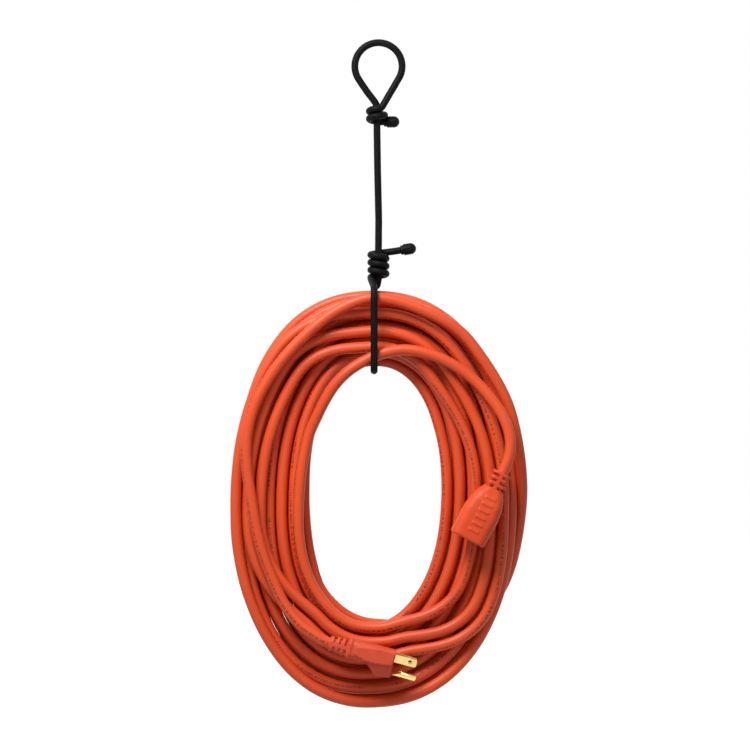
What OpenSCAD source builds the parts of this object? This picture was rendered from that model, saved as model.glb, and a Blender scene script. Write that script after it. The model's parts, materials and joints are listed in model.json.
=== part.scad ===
// Outdoor extension cord, wound in a hank and hung up by a bendable twist tie.
// Millimetres. +Z is up, +X is to the right, and the front of the hank faces -Y.
// The origin is the inner top of the tie's hanging loop, where a hook carries it.

/* [Cord] */
// Outer diameter of the cord's round jacket
cord_d = 9.0; // [8.7:0.1:9.1]
// Depth from one layer of loops to the next
layer_pitch = 9.5; // [9.5:0.1:9.8]
// Whole turns in the hank, besides the part turn at its ends
whole_turns = 19; // [17:1:19]
// Outer diameter of one insulated conductor
wire_d = 3.1; // [2.6:0.1:3.2]
// Diameter of the bare copper strands in a conductor
strand_d = 1.9; // [1.4:0.1:2.0]

/* [Hank] */
// Half the width of the hank, outside
hank_half_w = 116.5; // [113.5:0.5:118]
// Half the height of the hank, outside
hank_half_h = 170; // [167:0.5:172.5]
// Half the width of the hole in the hank
hole_half_w = 53; // [50:0.5:54]
// Half the height of the hole in the hank
hole_half_h = 102; // [100:0.5:103]
// How far each layer wanders inwards and outwards at the bottom of the hank
sway = 3.5; // [0:0.5:3.5]

/* [Plug] */
// Length of the plug's body, without its strain relief
plug_l = 37.6; // [35:0.2:42]
// Height of the plug's face
plug_face_h = 22.2; // [22:0.2:25]
// Depth of the plug's face, across its two blades
plug_face_d = 25; // [23:0.2:26]
// Length of the plug's strain relief
plug_relief_l = 15.5; // [14.5:0.5:22]
// Distance between the centres of the two blades
blade_spacing = 12.7; // [12.2:0.1:13.2]
// Width of a blade
blade_w = 6.35; // [6:0.05:6.6]
// Thickness of a blade
blade_t = 1.5; // [1.2:0.05:1.6]
// Length of a blade beyond the plug's face
blade_l = 17.9; // [16:0.1:18.2]
// Distance from the blades' middle line to the ground pin's centre
ground_offset = 11.9; // [11.7:0.1:12.1]
// Diameter of the ground pin
ground_d = 4.76; // [4.6:0.02:4.8]
// Length of the ground pin beyond the plug's face
ground_l = 20.6; // [19:0.1:21.4]

/* [Connector] */
// Length of the connector's body, without its strain relief
connector_l = 45.4; // [44:0.2:50]
// Width of the connector's face, across its two slots
connector_face_w = 29.4; // [28:0.2:32]
// Depth of the connector's face
connector_face_d = 25; // [24:0.2:26]
// Length of the connector's strain relief
connector_relief_l = 14.4; // [14:0.5:20]
// Diameter of the connector's ground hole
socket_d = 5.2; // [5.1:0.05:5.4]
// Number of grip ribs on each broad side of the connector
grip_ribs = 6; // [3:1:6]

/* [Tie] */
// Outer diameter of the tie's rubber sleeve
tie_d = 5.8; // [5.4:0.1:6]
// Diameter of the steel wire inside the sleeve
core_d = 2.0; // [1.6:0.1:2.2]
// Radius of the hanging loop, to the middle of the sleeve
hang_r = 19.1; // [17:0.1:21]
// Diameter of an end cap
cap_d = 9.2; // [8.4:0.1:10]
// Length of an end cap
cap_l = 12.6; // [11:0.2:14]

/* [Hidden] */
$fn = 48;
orange = "orangered";
slip = 0.1;   // room round a piece that sits in another, on each side
cut = 0.5;    // how far a cut runs past the face that it opens

// ---- Tubes along a route ----
function unit(v) = v / norm(v);
function heading(p, i) = unit(p[min(i + 1, len(p) - 1)] - p[max(min(i, len(p) - 1) - 1, 0)]);
function square_to(n, t) = unit(n - (n * t) * t);
function first_normal(t) = square_to(abs(t[1]) < 0.8 ? [0, 1, 0] : [1, 0, 0], t);
// One [heading, normal] pair for each point, turned no more than the route turns
function frames(p) = [
  for (i = 0, t = heading(p, 0), n = first_normal(t); i < len(p);
       i = i + 1, t = heading(p, i), n = square_to(n, t)) [t, n]
];
function ring(c, f, r, sides) = [
  for (j = [0 : sides - 1]) c + r * (cos(360 * j / sides) * f[1] + sin(360 * j / sides) * cross(f[0], f[1]))
];
function slice(list, a, b) = [for (i = [a : b]) list[i]];

module tube_on(p, f, d, sides) {
  last = len(p) - 1;
  rings = [for (i = [0 : last]) each ring(p[i], f[i], d / 2, sides)];
  walls = [
    for (i = [0 : last - 1], j = [0 : sides - 1])
      let (a = i * sides + j, b = i * sides + (j + 1) % sides)
        each [[a, b + sides, b], [a, a + sides, b + sides]]
  ];
  first_end = [for (j = [1 : sides - 2]) [0, j, j + 1]];
  other_end = [for (j = [1 : sides - 2]) [last * sides, last * sides + j + 1, last * sides + j]];
  polyhedron(points = rings, faces = concat(walls, first_end, other_end));
}

module tube(p, d, sides) {
  tube_on(p, frames(p), d, sides);
}

// The same tube, with each end a little longer, to cut a hole that comes out at both ends
module bore_on(p, f, d, sides) {
  last = len(p) - 1;
  longer = [
    for (i = [0 : last]) i == 0 ? p[0] - 0.05 * f[0][0] : i == last ? p[last] + 0.05 * f[last][0] : p[i]
  ];
  tube_on(longer, f, d, sides);
}

// A smooth curve through hand-placed points
function spline_point(p, i, u) =
  let (a = p[max(i - 1, 0)], b = p[i], c = p[i + 1], d = p[min(i + 2, len(p) - 1)])
    0.5 * (2 * b + (c - a) * u + (2 * a - 5 * b + 4 * c - d) * u * u + (3 * b - a - 3 * c + d) * u * u * u);
function smooth_route(p, steps) = concat(
  [for (i = [0 : len(p) - 2], k = [0 : steps - 1]) spline_point(p, i, k / steps)], [p[len(p) - 1]]
);
function ease(u) = let (v = max(0, min(1, u))) v * v * (3 - 2 * v);

// ---- The hank: four layers of loops that spiral in and out again ----
start_angle = 210;   // where the back layer starts, at the inner edge, on the lower left
end_angle = 165;     // where the front layer ends, at the inner edge, on the left
layers = 4;
turns = whole_turns + (start_angle - end_angle) / 360;
rings_per_turn = 24;
hank_top = -196.3;   // the rim's highest place stays under the tie when the hank grows
hank_mid = [-2.2, hank_top - hank_half_h];
hole_mid = [-3.0, -362.2];
outer_power = 2.25;  // 2 is an ellipse, and more is squarer
hole_power = 2.2;
hole_lean = 0.02;    // the hole leans to the right as it rises
sway_step = 60;      // how far each layer's wander lags behind that of the layer behind it
climb_turns = 0.4;

function lobe(c, power) = sign(c) * pow(abs(c), 2 / power);
function inner_edge(angle) =
  let (rise = (hole_half_h + cord_d / 2) * lobe(sin(angle), hole_power))
    [hole_mid[0] + (hole_half_w + cord_d / 2) * lobe(cos(angle), hole_power) + hole_lean * rise,
     hole_mid[1] + rise];
function outer_edge(angle) = [
  hank_mid[0] + (hank_half_w - cord_d / 2) * lobe(cos(angle), outer_power),
  hank_mid[1] + (hank_half_h - cord_d / 2) * lobe(sin(angle), outer_power)
];
layer_share = [0.2745, 0.2745, 0.2797, 0.1713];   // of the turns, from the back layer to the front
// The front layer has few turns, which wander over the others. At angles round the hank, this is where its
// innermost and its outermost turn lie, from 0 at the hole's edge to 1 at the rim.
front_band = [
  [0, 0.35, 0.95], [50, 0.05, 0.85], [95, 0.05, 0.8], [135, 0.3, 1], [185, 0.4, 1],
  [235, 0, 0.58], [285, 0, 0.6], [330, 0.4, 1]
];
settle_turns = 0.7;                              // at each end it takes this long to come off its edge
layer_end = [
  for (i = 0, total = 0; i <= layers; total = total + (i < layers ? layer_share[i] : 0), i = i + 1)
    total * turns
];
function layer_of(t) = t < layer_end[1] ? 0 : t < layer_end[2] ? 1 : t < layer_end[3] ? 2 : 3;
function mix(a, b, u) = a + (b - a) * ease(u);
function band_at(angle) =
  let (
    a = angle - 360 * floor(angle / 360),
    i = max([for (k = [0 : len(front_band) - 1]) if (front_band[k][0] <= a) k]),
    p = front_band[i],
    q = i + 1 < len(front_band) ? front_band[i + 1] : front_band[0] + [360, 0, 0]
  ) mix(p, q, (a - p[0]) / (q[0] - p[0]));
// 0 at the inner edge and 1 at the outer edge
function spread(t) =
  let (
    k = layer_of(t), share = (t - layer_end[k]) / (layer_end[k + 1] - layer_end[k]),
    band = band_at(start_angle - 360 * t),
    low = mix(band[1], 0, (t - turns) / settle_turns + 1),
    high = mix(1, band[2], (t - layer_end[3]) / settle_turns)
  ) k == 3 ? high + (low - high) * share : k == 1 ? 1 - share : share;
function layer_at(t) =
  ease((t - layer_end[1]) / climb_turns + 0.5) + ease((t - layer_end[2]) / climb_turns + 0.5)
  + ease((t - layer_end[3]) / climb_turns + 0.5);
function hank_point(t) =
  let (
    angle = start_angle - 360 * t, layer = layer_at(t), a = inner_edge(angle), b = outer_edge(angle),
    drift = sway * (1 - sin(angle)) / 2 * cos(2 * angle + sway_step * layer - 180),
    q = a + (b - a) * spread(t) + unit(b - a) * drift
  ) [q[0], ((layers - 1) / 2 - layer) * layer_pitch, q[1]];

wound = [for (i = [0 : turns * rings_per_turn]) hank_point(i / rings_per_turn)];
nudge = 0.001;
start_heading = unit(hank_point(nudge) - hank_point(0));
end_heading = unit(hank_point(turns) - hank_point(turns - nudge));
hank_start = hank_point(0) - cord_d * start_heading;
hank_end = hank_point(turns) + cord_d * end_heading;
hank_route = concat([hank_start], wound, [hank_end]);

// ---- The plug and the connector: each has its own frame, on the cord's axis, with +X out of its face ----
// Places on the hank are written for this size of hank, and move with its outline
usual_half = [116.5, 170];
front_pass = 24;     // how far in front of, or behind, the hank's middle a free end passes
fitting_pass = 31.8;
function on_hank(p) = [
  hank_mid[0] + (p[0] - hank_mid[0]) * hank_half_w / usual_half[0], p[1],
  hank_top + (p[2] - hank_top) * hank_half_h / usual_half[1]
];
plug_mid = on_hank([13, -fitting_pass, -492.4]);
plug_angle = 15;
connector_mid = on_hank([71.1, -fitting_pass, -396.1]);
connector_angle = 118.3;
function placed(mid, angle, x) = mid + x * [cos(angle), 0, -sin(angle)];
module at_plug() { translate(plug_mid) rotate([0, plug_angle, 0]) children(); }
module at_connector() { translate(connector_mid) rotate([0, connector_angle, 0]) children(); }

// ---- The two free ends of the cord ----
jacket_in_relief = 3.6;   // how far the jacket runs into the body, past the strain relief
plug_jacket_x = -plug_l + jacket_in_relief;
connector_jacket_x = -connector_l + jacket_in_relief;
tail_steps = 2;
lead = 4;                 // a tail runs straight over this length as it leaves a strain relief
joint_lead = 1;           // and over this length where it meets the hank
// A place just inside the hole's edge, at a depth
function inside_hole(angle, depth, inset) =
  let (edge = inner_edge(angle), q = edge + unit(hole_mid - edge) * inset) [q[0], depth, q[1]];
plug_tail_points = concat(
  [for (p = [
    [-50, -31.6, -472.8], [-62, -30, -464], [-74.5, -27, -448], [-85, -24.5, -426],
    [-94, -front_pass, -400], [-101, -front_pass, -364], [-105, -front_pass, -326],
    [-100, -front_pass, -295], [-84, -front_pass, -264], [-60, -front_pass, -236],
    [-30, -front_pass, -213], [0, -front_pass, -204], [32, -front_pass, -210],
    [61, -front_pass, -227], [84, -front_pass, -253], [103.5, -20.5, -287], [112.6, -14, -321],
    [116.6, -3, -356], [114.5, 10, -391], [108, 19.5, -423], [97, front_pass, -446],
    [79, front_pass, -459], [56, front_pass, -467.5], [32, front_pass, -472.5]
  ]) on_hank(p)],
  [inside_hole(281, front_pass, -3), inside_hole(266, 23.5, 0.5), inside_hole(251, 20.5, 2),
   inside_hole(236, 16.8, 1.6), inside_hole(224, 14.7, 0.3)]
);
connector_tail_points = concat(
  [inside_hole(153.5, -14.8, -0.2), inside_hole(146, -16.8, 1.4), inside_hole(136, -20, 2.2),
   inside_hole(122, -23, 1.5), inside_hole(107, -front_pass, 0)],
  [for (p = [
    [2, -front_pass, -249], [22, -front_pass, -245.5], [43, -front_pass, -249.5],
    [62, -front_pass, -258.5], [78, -24.5, -270.5], [91.5, -27, -285.5],
    [101.2, -29.5, -301], [105.6, -31, -315.5], [105.2, -31.7, -328.5]
  ]) on_hank(p)]
);
plug_tail_route = concat(
  [placed(plug_mid, plug_angle, plug_jacket_x), placed(plug_mid, plug_angle, -plug_l - plug_relief_l)],
  smooth_route(concat([placed(plug_mid, plug_angle, -plug_l - plug_relief_l - lead)], plug_tail_points,
    [hank_start - joint_lead * start_heading]), tail_steps),
  [hank_start]
);
connector_tail_route = concat(
  [hank_end],
  smooth_route(concat([hank_end + joint_lead * end_heading], connector_tail_points,
    [placed(connector_mid, connector_angle, -connector_l - connector_relief_l - lead)]), tail_steps),
  [placed(connector_mid, connector_angle, -connector_l - connector_relief_l),
   placed(connector_mid, connector_angle, connector_jacket_x)]
);
function sum(list) = list * [for (v = list) 1];
function route_length(p) = sum([for (i = [1 : len(p) - 1]) norm(p[i] - p[i - 1])]);
function least_between(p, q) = min([for (a = p) min([for (b = q) norm(a - b)])]);
// Each ring against the rings beside the same place on every other turn
function least_to_self(p) = min([
  for (i = [0 : len(p) - 1 - rings_per_turn], k = [i + rings_per_turn - 2 : len(p) - 1])
    if ((k - i + 2) % rings_per_turn < 5) norm(p[i] - p[k])
]);
echo(hank_least_gap = least_to_self(hank_route) - cord_d);
plug_tail_free = slice(plug_tail_route, 0, len(plug_tail_route) - 5);
connector_tail_free = slice(connector_tail_route, 5, len(connector_tail_route) - 1);
echo(plug_tail_least_gap = least_between(plug_tail_free, hank_route) - cord_d);
echo(connector_tail_least_gap = least_between(connector_tail_free, hank_route) - cord_d);
cord_length = sum([for (route = [hank_route, plug_tail_route, connector_tail_route]) route_length(route)]);
echo(cord_length_m = cord_length / 1000);

module cord_coil() {
  color(orange) tube(hank_route, cord_d, 6);
}
module cord_plug_tail() {
  color(orange) tube(plug_tail_route, cord_d, 8);
}
module cord_connector_tail() {
  color(orange) tube(connector_tail_route, cord_d, 8);
}

// ---- Shapes that the plug and the connector share ----
bar = 0.02;   // thickness of the slices that a hull joins
corner_r = 7;
neck_r = 4.5;
module rounded_slice(x, w_y, w_z, r) {
  for (sy = [-1, 1], sz = [-1, 1])
    translate([x, sy * (w_y / 2 - r), sz * (w_z / 2 - r)]) rotate([0, 90, 0])
      cylinder(r = r, h = bar, center = true, $fn = 32);
}
module rounded_box(x0, x1, w_y, w_z, r) {
  translate([x0, 0, 0]) rotate([90, 0, 90]) linear_extrude(x1 - x0)
    offset(r) square([w_y - 2 * r, w_z - 2 * r], center = true);
}
module rod_x(x0, x1, d) {
  translate([x0, 0, 0]) rotate([0, 90, 0]) cylinder(d = d, h = x1 - x0);
}
// A row of three windows on each side of the strain relief, down to the jacket
relief_slots = 3;
slot_w = 2.2;
spine_w = 3;
module relief_windows(x_first, pitch, reach) {
  for (i = [0 : relief_slots - 1], z = [spine_w / 2, -spine_w / 2 - reach])
    translate([x_first - pitch * i - slot_w / 2, -reach, z]) cube([slot_w, 2 * reach, reach]);
}
module relief_shape(x_neck, relief_l, neck_y, neck_z, end_d) {
  hull() {
    rounded_slice(x_neck, neck_y, neck_z, neck_r);
    rounded_slice(x_neck - relief_l + bar, end_d, end_d, neck_r);
  }
}

// Where each conductor leaves the jacket, round its middle line, and where it is crimped
wire_start_r = 1.95;
function wire_start(turn) = [wire_start_r * cos(turn), wire_start_r * sin(turn)];
wire_steps = 10;
straight_end = 0.97;
// A conductor keeps straight up to a share of its way, and then bends over to its crimp
function wire_path(x0, x1, a, b, bend) = concat(
  [[x0, a[0], a[1]]],
  [for (k = [0 : wire_steps])
    let (u = bend + (straight_end - bend) * k / wire_steps, v = ease(k / wire_steps))
    [x0 + (x1 - x0) * u, a[0] + (b[0] - a[0]) * v, a[1] + (b[1] - a[1]) * v]],
  [[x1, b[0], b[1]]]
);
barrel_d = 3.8;
barrel_bore = strand_d + 2 * slip;
barrel_l = 5.5;
crimp_reach = 1.2;    // solid metal between the strands' tip and the barrel's root
module barrel(x0, x1) {
  difference() {
    rod_x(x0, x1, barrel_d);
    rod_x(x0 - cut, x0 + barrel_l - crimp_reach, barrel_bore);
  }
}
module strands(x0) {
  rod_x(x0, x0 + barrel_l - crimp_reach - slip, strand_d);
}

// ---- Plug ----
face_top = 7.8;             // the face's top edge, above the cord's axis
blade_z = face_top - 5.4;
plug_neck_y = 14;
plug_neck_z = 14.8;
plug_relief_end = 11.4;
plug_slot_pitch = plug_relief_l / 3.48;
bridge_x0 = -8.5;
bridge_x1 = -2;
plug_barrel_x = bridge_x0 - barrel_l - 0.5;
plug_seats = [[-blade_spacing / 2, blade_z], [blade_spacing / 2, blade_z], [0, blade_z - ground_offset]];
plug_turns = [150, 30, 270];
plug_wire_bend = 0.48;
blade_hole_d = 3.2;
blade_hole_x = 0.7 * blade_l;
blade_tip = 1.2;

function plug_wire(i) =
  wire_path(plug_jacket_x, plug_barrel_x, wire_start(plug_turns[i]), plug_seats[i], plug_wire_bend);
module at_seat(seat) { translate([0, seat[0], seat[1]]) children(); }

module blade_shape(grow) {
  translate([bridge_x0 - 0.01, -blade_t / 2 - grow, -blade_w / 2 - grow])
    cube([-bridge_x0 + 0.01 + cut, blade_t + 2 * grow, blade_w + 2 * grow]);
}
module blade() {
  difference() {
    union() {
      translate([0, blade_t / 2, 0]) rotate([90, 0, 0]) linear_extrude(blade_t) polygon([
        [bridge_x0, -blade_w / 2], [blade_l - blade_tip, -blade_w / 2], [blade_l, -blade_w / 2 + blade_tip],
        [blade_l, blade_w / 2 - blade_tip], [blade_l - blade_tip, blade_w / 2], [bridge_x0, blade_w / 2]
      ]);
      rod_x(bridge_x0 - 0.5, bridge_x0 + 0.01, barrel_d);
      barrel(plug_barrel_x, bridge_x0 - 0.49);
    }
    translate([blade_hole_x, 0, 0]) rotate([90, 0, 0])
      cylinder(d = blade_hole_d, h = 2 * blade_t, center = true);
  }
}
module plug_blade_line() {
  color("goldenrod") at_plug() at_seat(plug_seats[0]) blade();
}
module plug_blade_neutral() {
  color("goldenrod") at_plug() at_seat(plug_seats[1]) blade();
}
pin_tip = 1.6;
pin_root_d = 4;           // the ground pin is thinner where the plug holds it
pin_shoulder = 0.1;       // its full diameter starts this far beyond the face
module plug_ground_pin() {
  color("goldenrod") at_plug() at_seat(plug_seats[2]) {
    rotate([0, 90, 0]) rotate_extrude() polygon(concat(
      [[0, bridge_x0], [pin_root_d / 2, bridge_x0], [pin_root_d / 2, pin_shoulder]],
      [[ground_d / 2, pin_shoulder], [ground_d / 2, ground_l - pin_tip]],
      [for (a = [15 : 15 : 90])
        [ground_d / 2 - pin_tip + pin_tip * cos(a), ground_l - pin_tip + pin_tip * sin(a)]],
      [[0, ground_l]]
    ));
    barrel(plug_barrel_x, bridge_x0 + 0.01);
  }
}
// A slice of the plug, wide down to its shoulder and narrower below it, towards the ground pin
module plug_slice(x, half_w, top, shoulder, bottom, half_bottom, r) {
  for (side = [-1, 1], corner = [[half_w, top - r], [half_w, shoulder], [half_bottom, bottom + r]])
    translate([x, side * (corner[0] - r), corner[1]]) rotate([0, 90, 0])
      cylinder(r = r, h = bar, center = true, $fn = 32);
}
module plug_face_slice() {
  plug_slice(-bar / 2, plug_face_d / 2, face_top, -2.4, face_top - plug_face_h, 6.5, 3);
}
module plug_heel_slice() {
  plug_slice(heel_x, heel_half_w, face_top, -3.4, face_top - plug_face_h - 0.6, 6.5, 3);
}
module plug_hip_slice() {
  plug_slice(hip_x, hip_half_w, 7.7, -2, hip_bottom, 5, 3);
}
heel_x = -12.5;           // the ground pin's side of the plug flares out from the hip to the heel
hip_x = -21.3;
hip_half_w = 9.5;
hip_bottom = -7.2;
heel_half_w = hip_half_w + (plug_face_d / 2 - hip_half_w) * (heel_x - hip_x) / -hip_x;
collar_w = 2.6;           // a collar round the strain relief's root
collar_h = 0.7;
plug_back = -plug_l + collar_w;
panel_h = 1;            // the raised panel on each broad side
function plug_half_w(x) = x > hip_x
  ? hip_half_w + (plug_face_d / 2 - hip_half_w) * (x - hip_x) / -hip_x
  : hip_half_w + (plug_neck_y / 2 - hip_half_w) * (hip_x - x) / (hip_x - plug_back);
module panel_slice(x, low, high) {
  reach = plug_half_w(x) + panel_h;
  translate([x, -reach, low]) cube([bar, 2 * reach, high - low]);
}
underside_ribs = 4;
module bridge_shape(x0, x1, grow) {
  translate([x0, 0, 0]) rotate([90, 0, 90]) linear_extrude(x1 - x0) offset(r = 1 + grow)
    polygon([[-8.5, 5.2], [-8.5, -1.7], [-4, -11.3], [4, -11.3], [8.5, -1.7], [8.5, 5.2]]);
}
module plug_bridge() {
  color("ivory") at_plug() difference() {
    bridge_shape(bridge_x0, bridge_x1, 0);
    at_seat(plug_seats[0]) translate([-cut, 0, 0]) blade_shape(slip / 2);
    at_seat(plug_seats[1]) translate([-cut, 0, 0]) blade_shape(slip / 2);
    at_seat(plug_seats[2]) rod_x(bridge_x0 - cut, bridge_x1 + cut, pin_root_d + slip);
  }
}
module plug_body() {
  color("tomato") at_plug() difference() {
    union() {
      hull() {
        plug_face_slice();
        plug_heel_slice();
      }
      hull() {
        plug_heel_slice();
        plug_hip_slice();
      }
      hull() {
        plug_hip_slice();
        rounded_slice(plug_back, plug_neck_y, plug_neck_z, neck_r);
      }
      hull() {
        panel_slice(-1, -3.4, face_top - 1.2);
        panel_slice(-13, -5.2, face_top - 1.2);
        panel_slice(-22, -5.2, 5.3);
        panel_slice(-30.6, -3.4, 3.7);
        panel_slice(-32, -2.2, 2.5);
      }
      rounded_box(-plug_l, plug_back + bar, plug_neck_y + 2 * collar_h, plug_neck_z + 2 * collar_h, neck_r);
      relief_shape(-plug_l, plug_relief_l, plug_neck_y, plug_neck_z, plug_relief_end);
      for (i = [0 : underside_ribs - 1])
        translate([-23.6 - 2.2 * i, -4, hip_bottom - 0.6]) cube([1.1, 8, 3]);
    }
    relief_windows(-plug_l - 2.2, plug_slot_pitch, 12);
    rod_x(-plug_l - plug_relief_l - cut, plug_jacket_x, cord_d + 2 * slip);
    bridge_shape(bridge_x0 - slip / 2, bridge_x1 + slip / 2, slip / 2);
    for (i = [0, 1]) at_seat(plug_seats[i]) blade_shape(slip);
    at_seat(plug_seats[2]) rod_x(bridge_x0, cut, pin_root_d + 2 * slip);
    for (i = [0 : 2]) {
      at_seat(plug_seats[i]) rod_x(plug_barrel_x - slip, bridge_x0, barrel_d + 2 * slip);
      bore_on(plug_wire(i), frames(plug_wire(i)), wire_d + 2 * slip, 8);
    }
  }
}
module plug_wire_line() { color("dimgray") at_plug() tube(plug_wire(0), wire_d, 8); }
module plug_wire_neutral() { color("white") at_plug() tube(plug_wire(1), wire_d, 8); }
module plug_wire_ground() { color("green") at_plug() tube(plug_wire(2), wire_d, 8); }
module plug_strands() {
  color("peru") at_plug() for (seat = plug_seats) at_seat(seat) strands(plug_barrel_x);
}

// ---- Connector ----
slot_y = -5.4;                 // the slots' middle line, in front of the connector's own
contact_w = 6.6;
contact_h = 3.6;
contact_gap = blade_t;
face_plate = 3.3;
slot_reach = blade_l + 1.1;    // how far a blade's room runs in from the face
contact_back = 2;
line_slot_w = blade_w + 0.65;
neutral_slot_w = blade_w + 1.85;
slot_t = blade_t + 0.6;
insert_l = ground_l + 3.4;
insert_d = 21.6;
insert_w = 21;
collar_l = 4.2;                // the ground hole's own wall, ahead of its contact
sleeve_d = ground_d + 1.3;
connector_barrel_x = -insert_l - barrel_l + 1;
connector_seats = [[slot_y, blade_spacing / 2], [slot_y, -blade_spacing / 2], [slot_y + ground_offset, 0]];
connector_turns = [120, 240, 0];
connector_wire_bend = 0.12;
connector_neck_y = 15;
connector_neck_z = 16.8;
connector_relief_end = 15;
connector_slot_pitch = connector_relief_l / 3.05;
rib_pitch = 5.8;
rib_l = 8.6;
rib_w = 3.6;
rib_h = 0.9;
rib_z = 0.8;                   // the ribs' middle, beside the connector's own
first_rib = 8;
// The body's width and depth at places along it, from its softened mouth back to its neck
body_slices = [
  [-bar / 2, connector_face_d - 2, connector_face_w - 0.6],
  [-1.6, connector_face_d, connector_face_w],
  [-20, connector_face_d - 0.8, connector_face_w + 0.8],
  [-insert_l, connector_face_d - 1, connector_face_w + 0.6],
  [-33, connector_face_d - 2.8, connector_face_w - 2],
  [-40, connector_face_d - 6.4, connector_face_w - 6.8],
  [-connector_l, connector_neck_y, connector_neck_z]
];
function connector_depth(x) = lookup(x, [for (v = body_slices) [v[0], v[1]]]);

function connector_wire(i) =
  wire_path(connector_jacket_x, connector_barrel_x, wire_start(connector_turns[i]), connector_seats[i],
    connector_wire_bend);
module blade_contact() {
  difference() {
    translate([-slot_reach - contact_back, -contact_w / 2, -contact_h / 2])
      cube([slot_reach + contact_back - face_plate - slip, contact_w, contact_h]);
    translate([-slot_reach, -contact_w, -contact_gap / 2]) cube([slot_reach, 2 * contact_w, contact_gap]);
  }
  barrel(connector_barrel_x, -slot_reach - contact_back + 0.01);
}
module contact_line() {
  color("goldenrod") at_connector() at_seat(connector_seats[0]) blade_contact();
}
module contact_neutral() {
  color("goldenrod") at_connector() at_seat(connector_seats[1]) blade_contact();
}
module contact_ground() {
  color("goldenrod") at_connector() at_seat(connector_seats[2]) {
    difference() {
      rod_x(-insert_l, -collar_l - slip, sleeve_d);
      rod_x(-insert_l + 1.5, cut, ground_d + 0.1);
      translate([-insert_l + 3, 0, -0.5]) cube([insert_l, sleeve_d, 1]);
    }
    barrel(connector_barrel_x, -insert_l + 0.01);
  }
}
module connector_insert() {
  color("orangered") at_connector() difference() {
    rounded_box(-insert_l, 0, insert_d, insert_w, 4);
    for (i = [0, 1]) at_seat(connector_seats[i]) {
      translate([-insert_l - cut, -contact_w / 2 - slip, -contact_h / 2 - slip])
        cube([insert_l + cut - face_plate, contact_w + 2 * slip, contact_h + 2 * slip]);
      slot_w_here = i == 0 ? line_slot_w : neutral_slot_w;
      translate([-face_plate - cut, -slot_w_here / 2, -slot_t / 2])
        cube([face_plate + 2 * cut, slot_w_here, slot_t]);
    }
    at_seat(connector_seats[2]) {
      rod_x(-insert_l - cut, -collar_l, sleeve_d + 2 * slip);
      rod_x(-collar_l - cut, cut, socket_d);
    }
  }
}
// A rib on both broad sides: it rises towards the face and drops off sharply
module grip_rib(x, high, low) {
  translate([0, 0, rib_z - rib_l / 2]) linear_extrude(rib_l)
    polygon([[x, -high], [x, high], [x - rib_w, low], [x - rib_w, -low]]);
}
module connector_body() {
  color("tomato") at_connector() difference() {
    union() {
      hull() {
        for (v = body_slices) rounded_slice(v[0], v[1], v[2], corner_r);
      }
      relief_shape(-connector_l, connector_relief_l, connector_neck_y, connector_neck_z,
        connector_relief_end);
      for (i = [0 : grip_ribs - 1]) let (x = -first_rib - rib_pitch * i)
        grip_rib(x, connector_depth(x) / 2 + rib_h, connector_depth(x - rib_w) / 2 - 0.1);
    }
    relief_windows(-connector_l - 1.6, connector_slot_pitch, 12);
    rod_x(-connector_l - connector_relief_l - cut, connector_jacket_x, cord_d + 2 * slip);
    rounded_box(-insert_l - slip / 2, cut, insert_d + slip, insert_w + slip, 4);
    for (i = [0 : 2]) {
      at_seat(connector_seats[i]) rod_x(connector_barrel_x - slip, -insert_l, barrel_d + 2 * slip);
      bore_on(connector_wire(i), frames(connector_wire(i)), wire_d + 2 * slip, 8);
    }
  }
}
module connector_wire_line() { color("dimgray") at_connector() tube(connector_wire(0), wire_d, 8); }
module connector_wire_neutral() { color("white") at_connector() tube(connector_wire(1), wire_d, 8); }
module connector_wire_ground() { color("green") at_connector() tube(connector_wire(2), wire_d, 8); }
module connector_strands() {
  color("peru") at_connector() for (seat = connector_seats) at_seat(seat) strands(connector_barrel_x);
}

// ---- Twist tie: a rubber sleeve on a steel wire, bent round the hank and into a loop ----
tie_sides = 10;
core_sides = 6;
core_bore = core_d + 0.3;
tie_x = -2.7;                       // the middle of the loop round the hank
wrap_r = tie_d + 0.35;              // from the shank's middle to a wrap's
wrap_pitch = tie_d + 0.3;
bend_r = 7;
seat_gap = 0.5;
bundle_gap = 0.6;
// The lowest underside of the loops where they pass over the tie's rod
hank_low = min([
  for (i = [0 : len(wound) - 2])
    let (a = wound[i], b = wound[i + 1])
      if (a[2] > hank_mid[1] && a[0] <= tie_x && b[0] > tie_x)
        a[2] + (b[2] - a[2]) * (tie_x - a[0]) / (b[0] - a[0])
]) - cord_d / 2;
swing_z = hank_low - seat_gap - tie_d / 2;      // the rod that the hank hangs and swings on
front_y = -front_pass - cord_d / 2 - bundle_gap - tie_d / 2;
back_y = (layers - 1) / 2 * layer_pitch + cord_d / 2 + bundle_gap + tie_d / 2;
over_z = hank_top + tie_d / 2;      // the tie's middle where it passes over the hank
upper_x = -0.4;
lower_x = 0.8;
upper_z = -2 * hang_r - 12.3;        // the upper knot's wraps go down from here
lower_z = over_z + 6.6;             // and the lower knot's go up from here
function wrap(x, z, from, turn, climb, steps) = [
  for (k = [0 : steps]) let (a = from - turn * k / steps)
    [x + wrap_r * cos(a), wrap_r * sin(a), z + climb * turn / 360 * k / steps]
];
upper_turn = 570;
lower_turn = 1170;
upper_wraps = wrap(upper_x, upper_z, -60, upper_turn, -wrap_pitch, 24);
lower_wraps = wrap(lower_x, lower_z, 180, lower_turn, wrap_pitch, 50);
upper_reach = 5.6;                  // how far each tail runs out from the shank before its cap
lower_reach = 18;
upper_tip = [upper_x + upper_reach, wrap_r, upper_z - wrap_pitch * upper_turn / 360 - 0.3];
lower_tip = [lower_x + lower_reach, wrap_r - 1.4, lower_z + wrap_pitch * lower_turn / 360 + 2.4];
upper_cap_angle = 0;
lower_cap_angle = 9;
function along(angle) = [cos(angle), 0, sin(angle)];
hang_mid = [0.8, 0, -hang_r + tie_d / 2];
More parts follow.
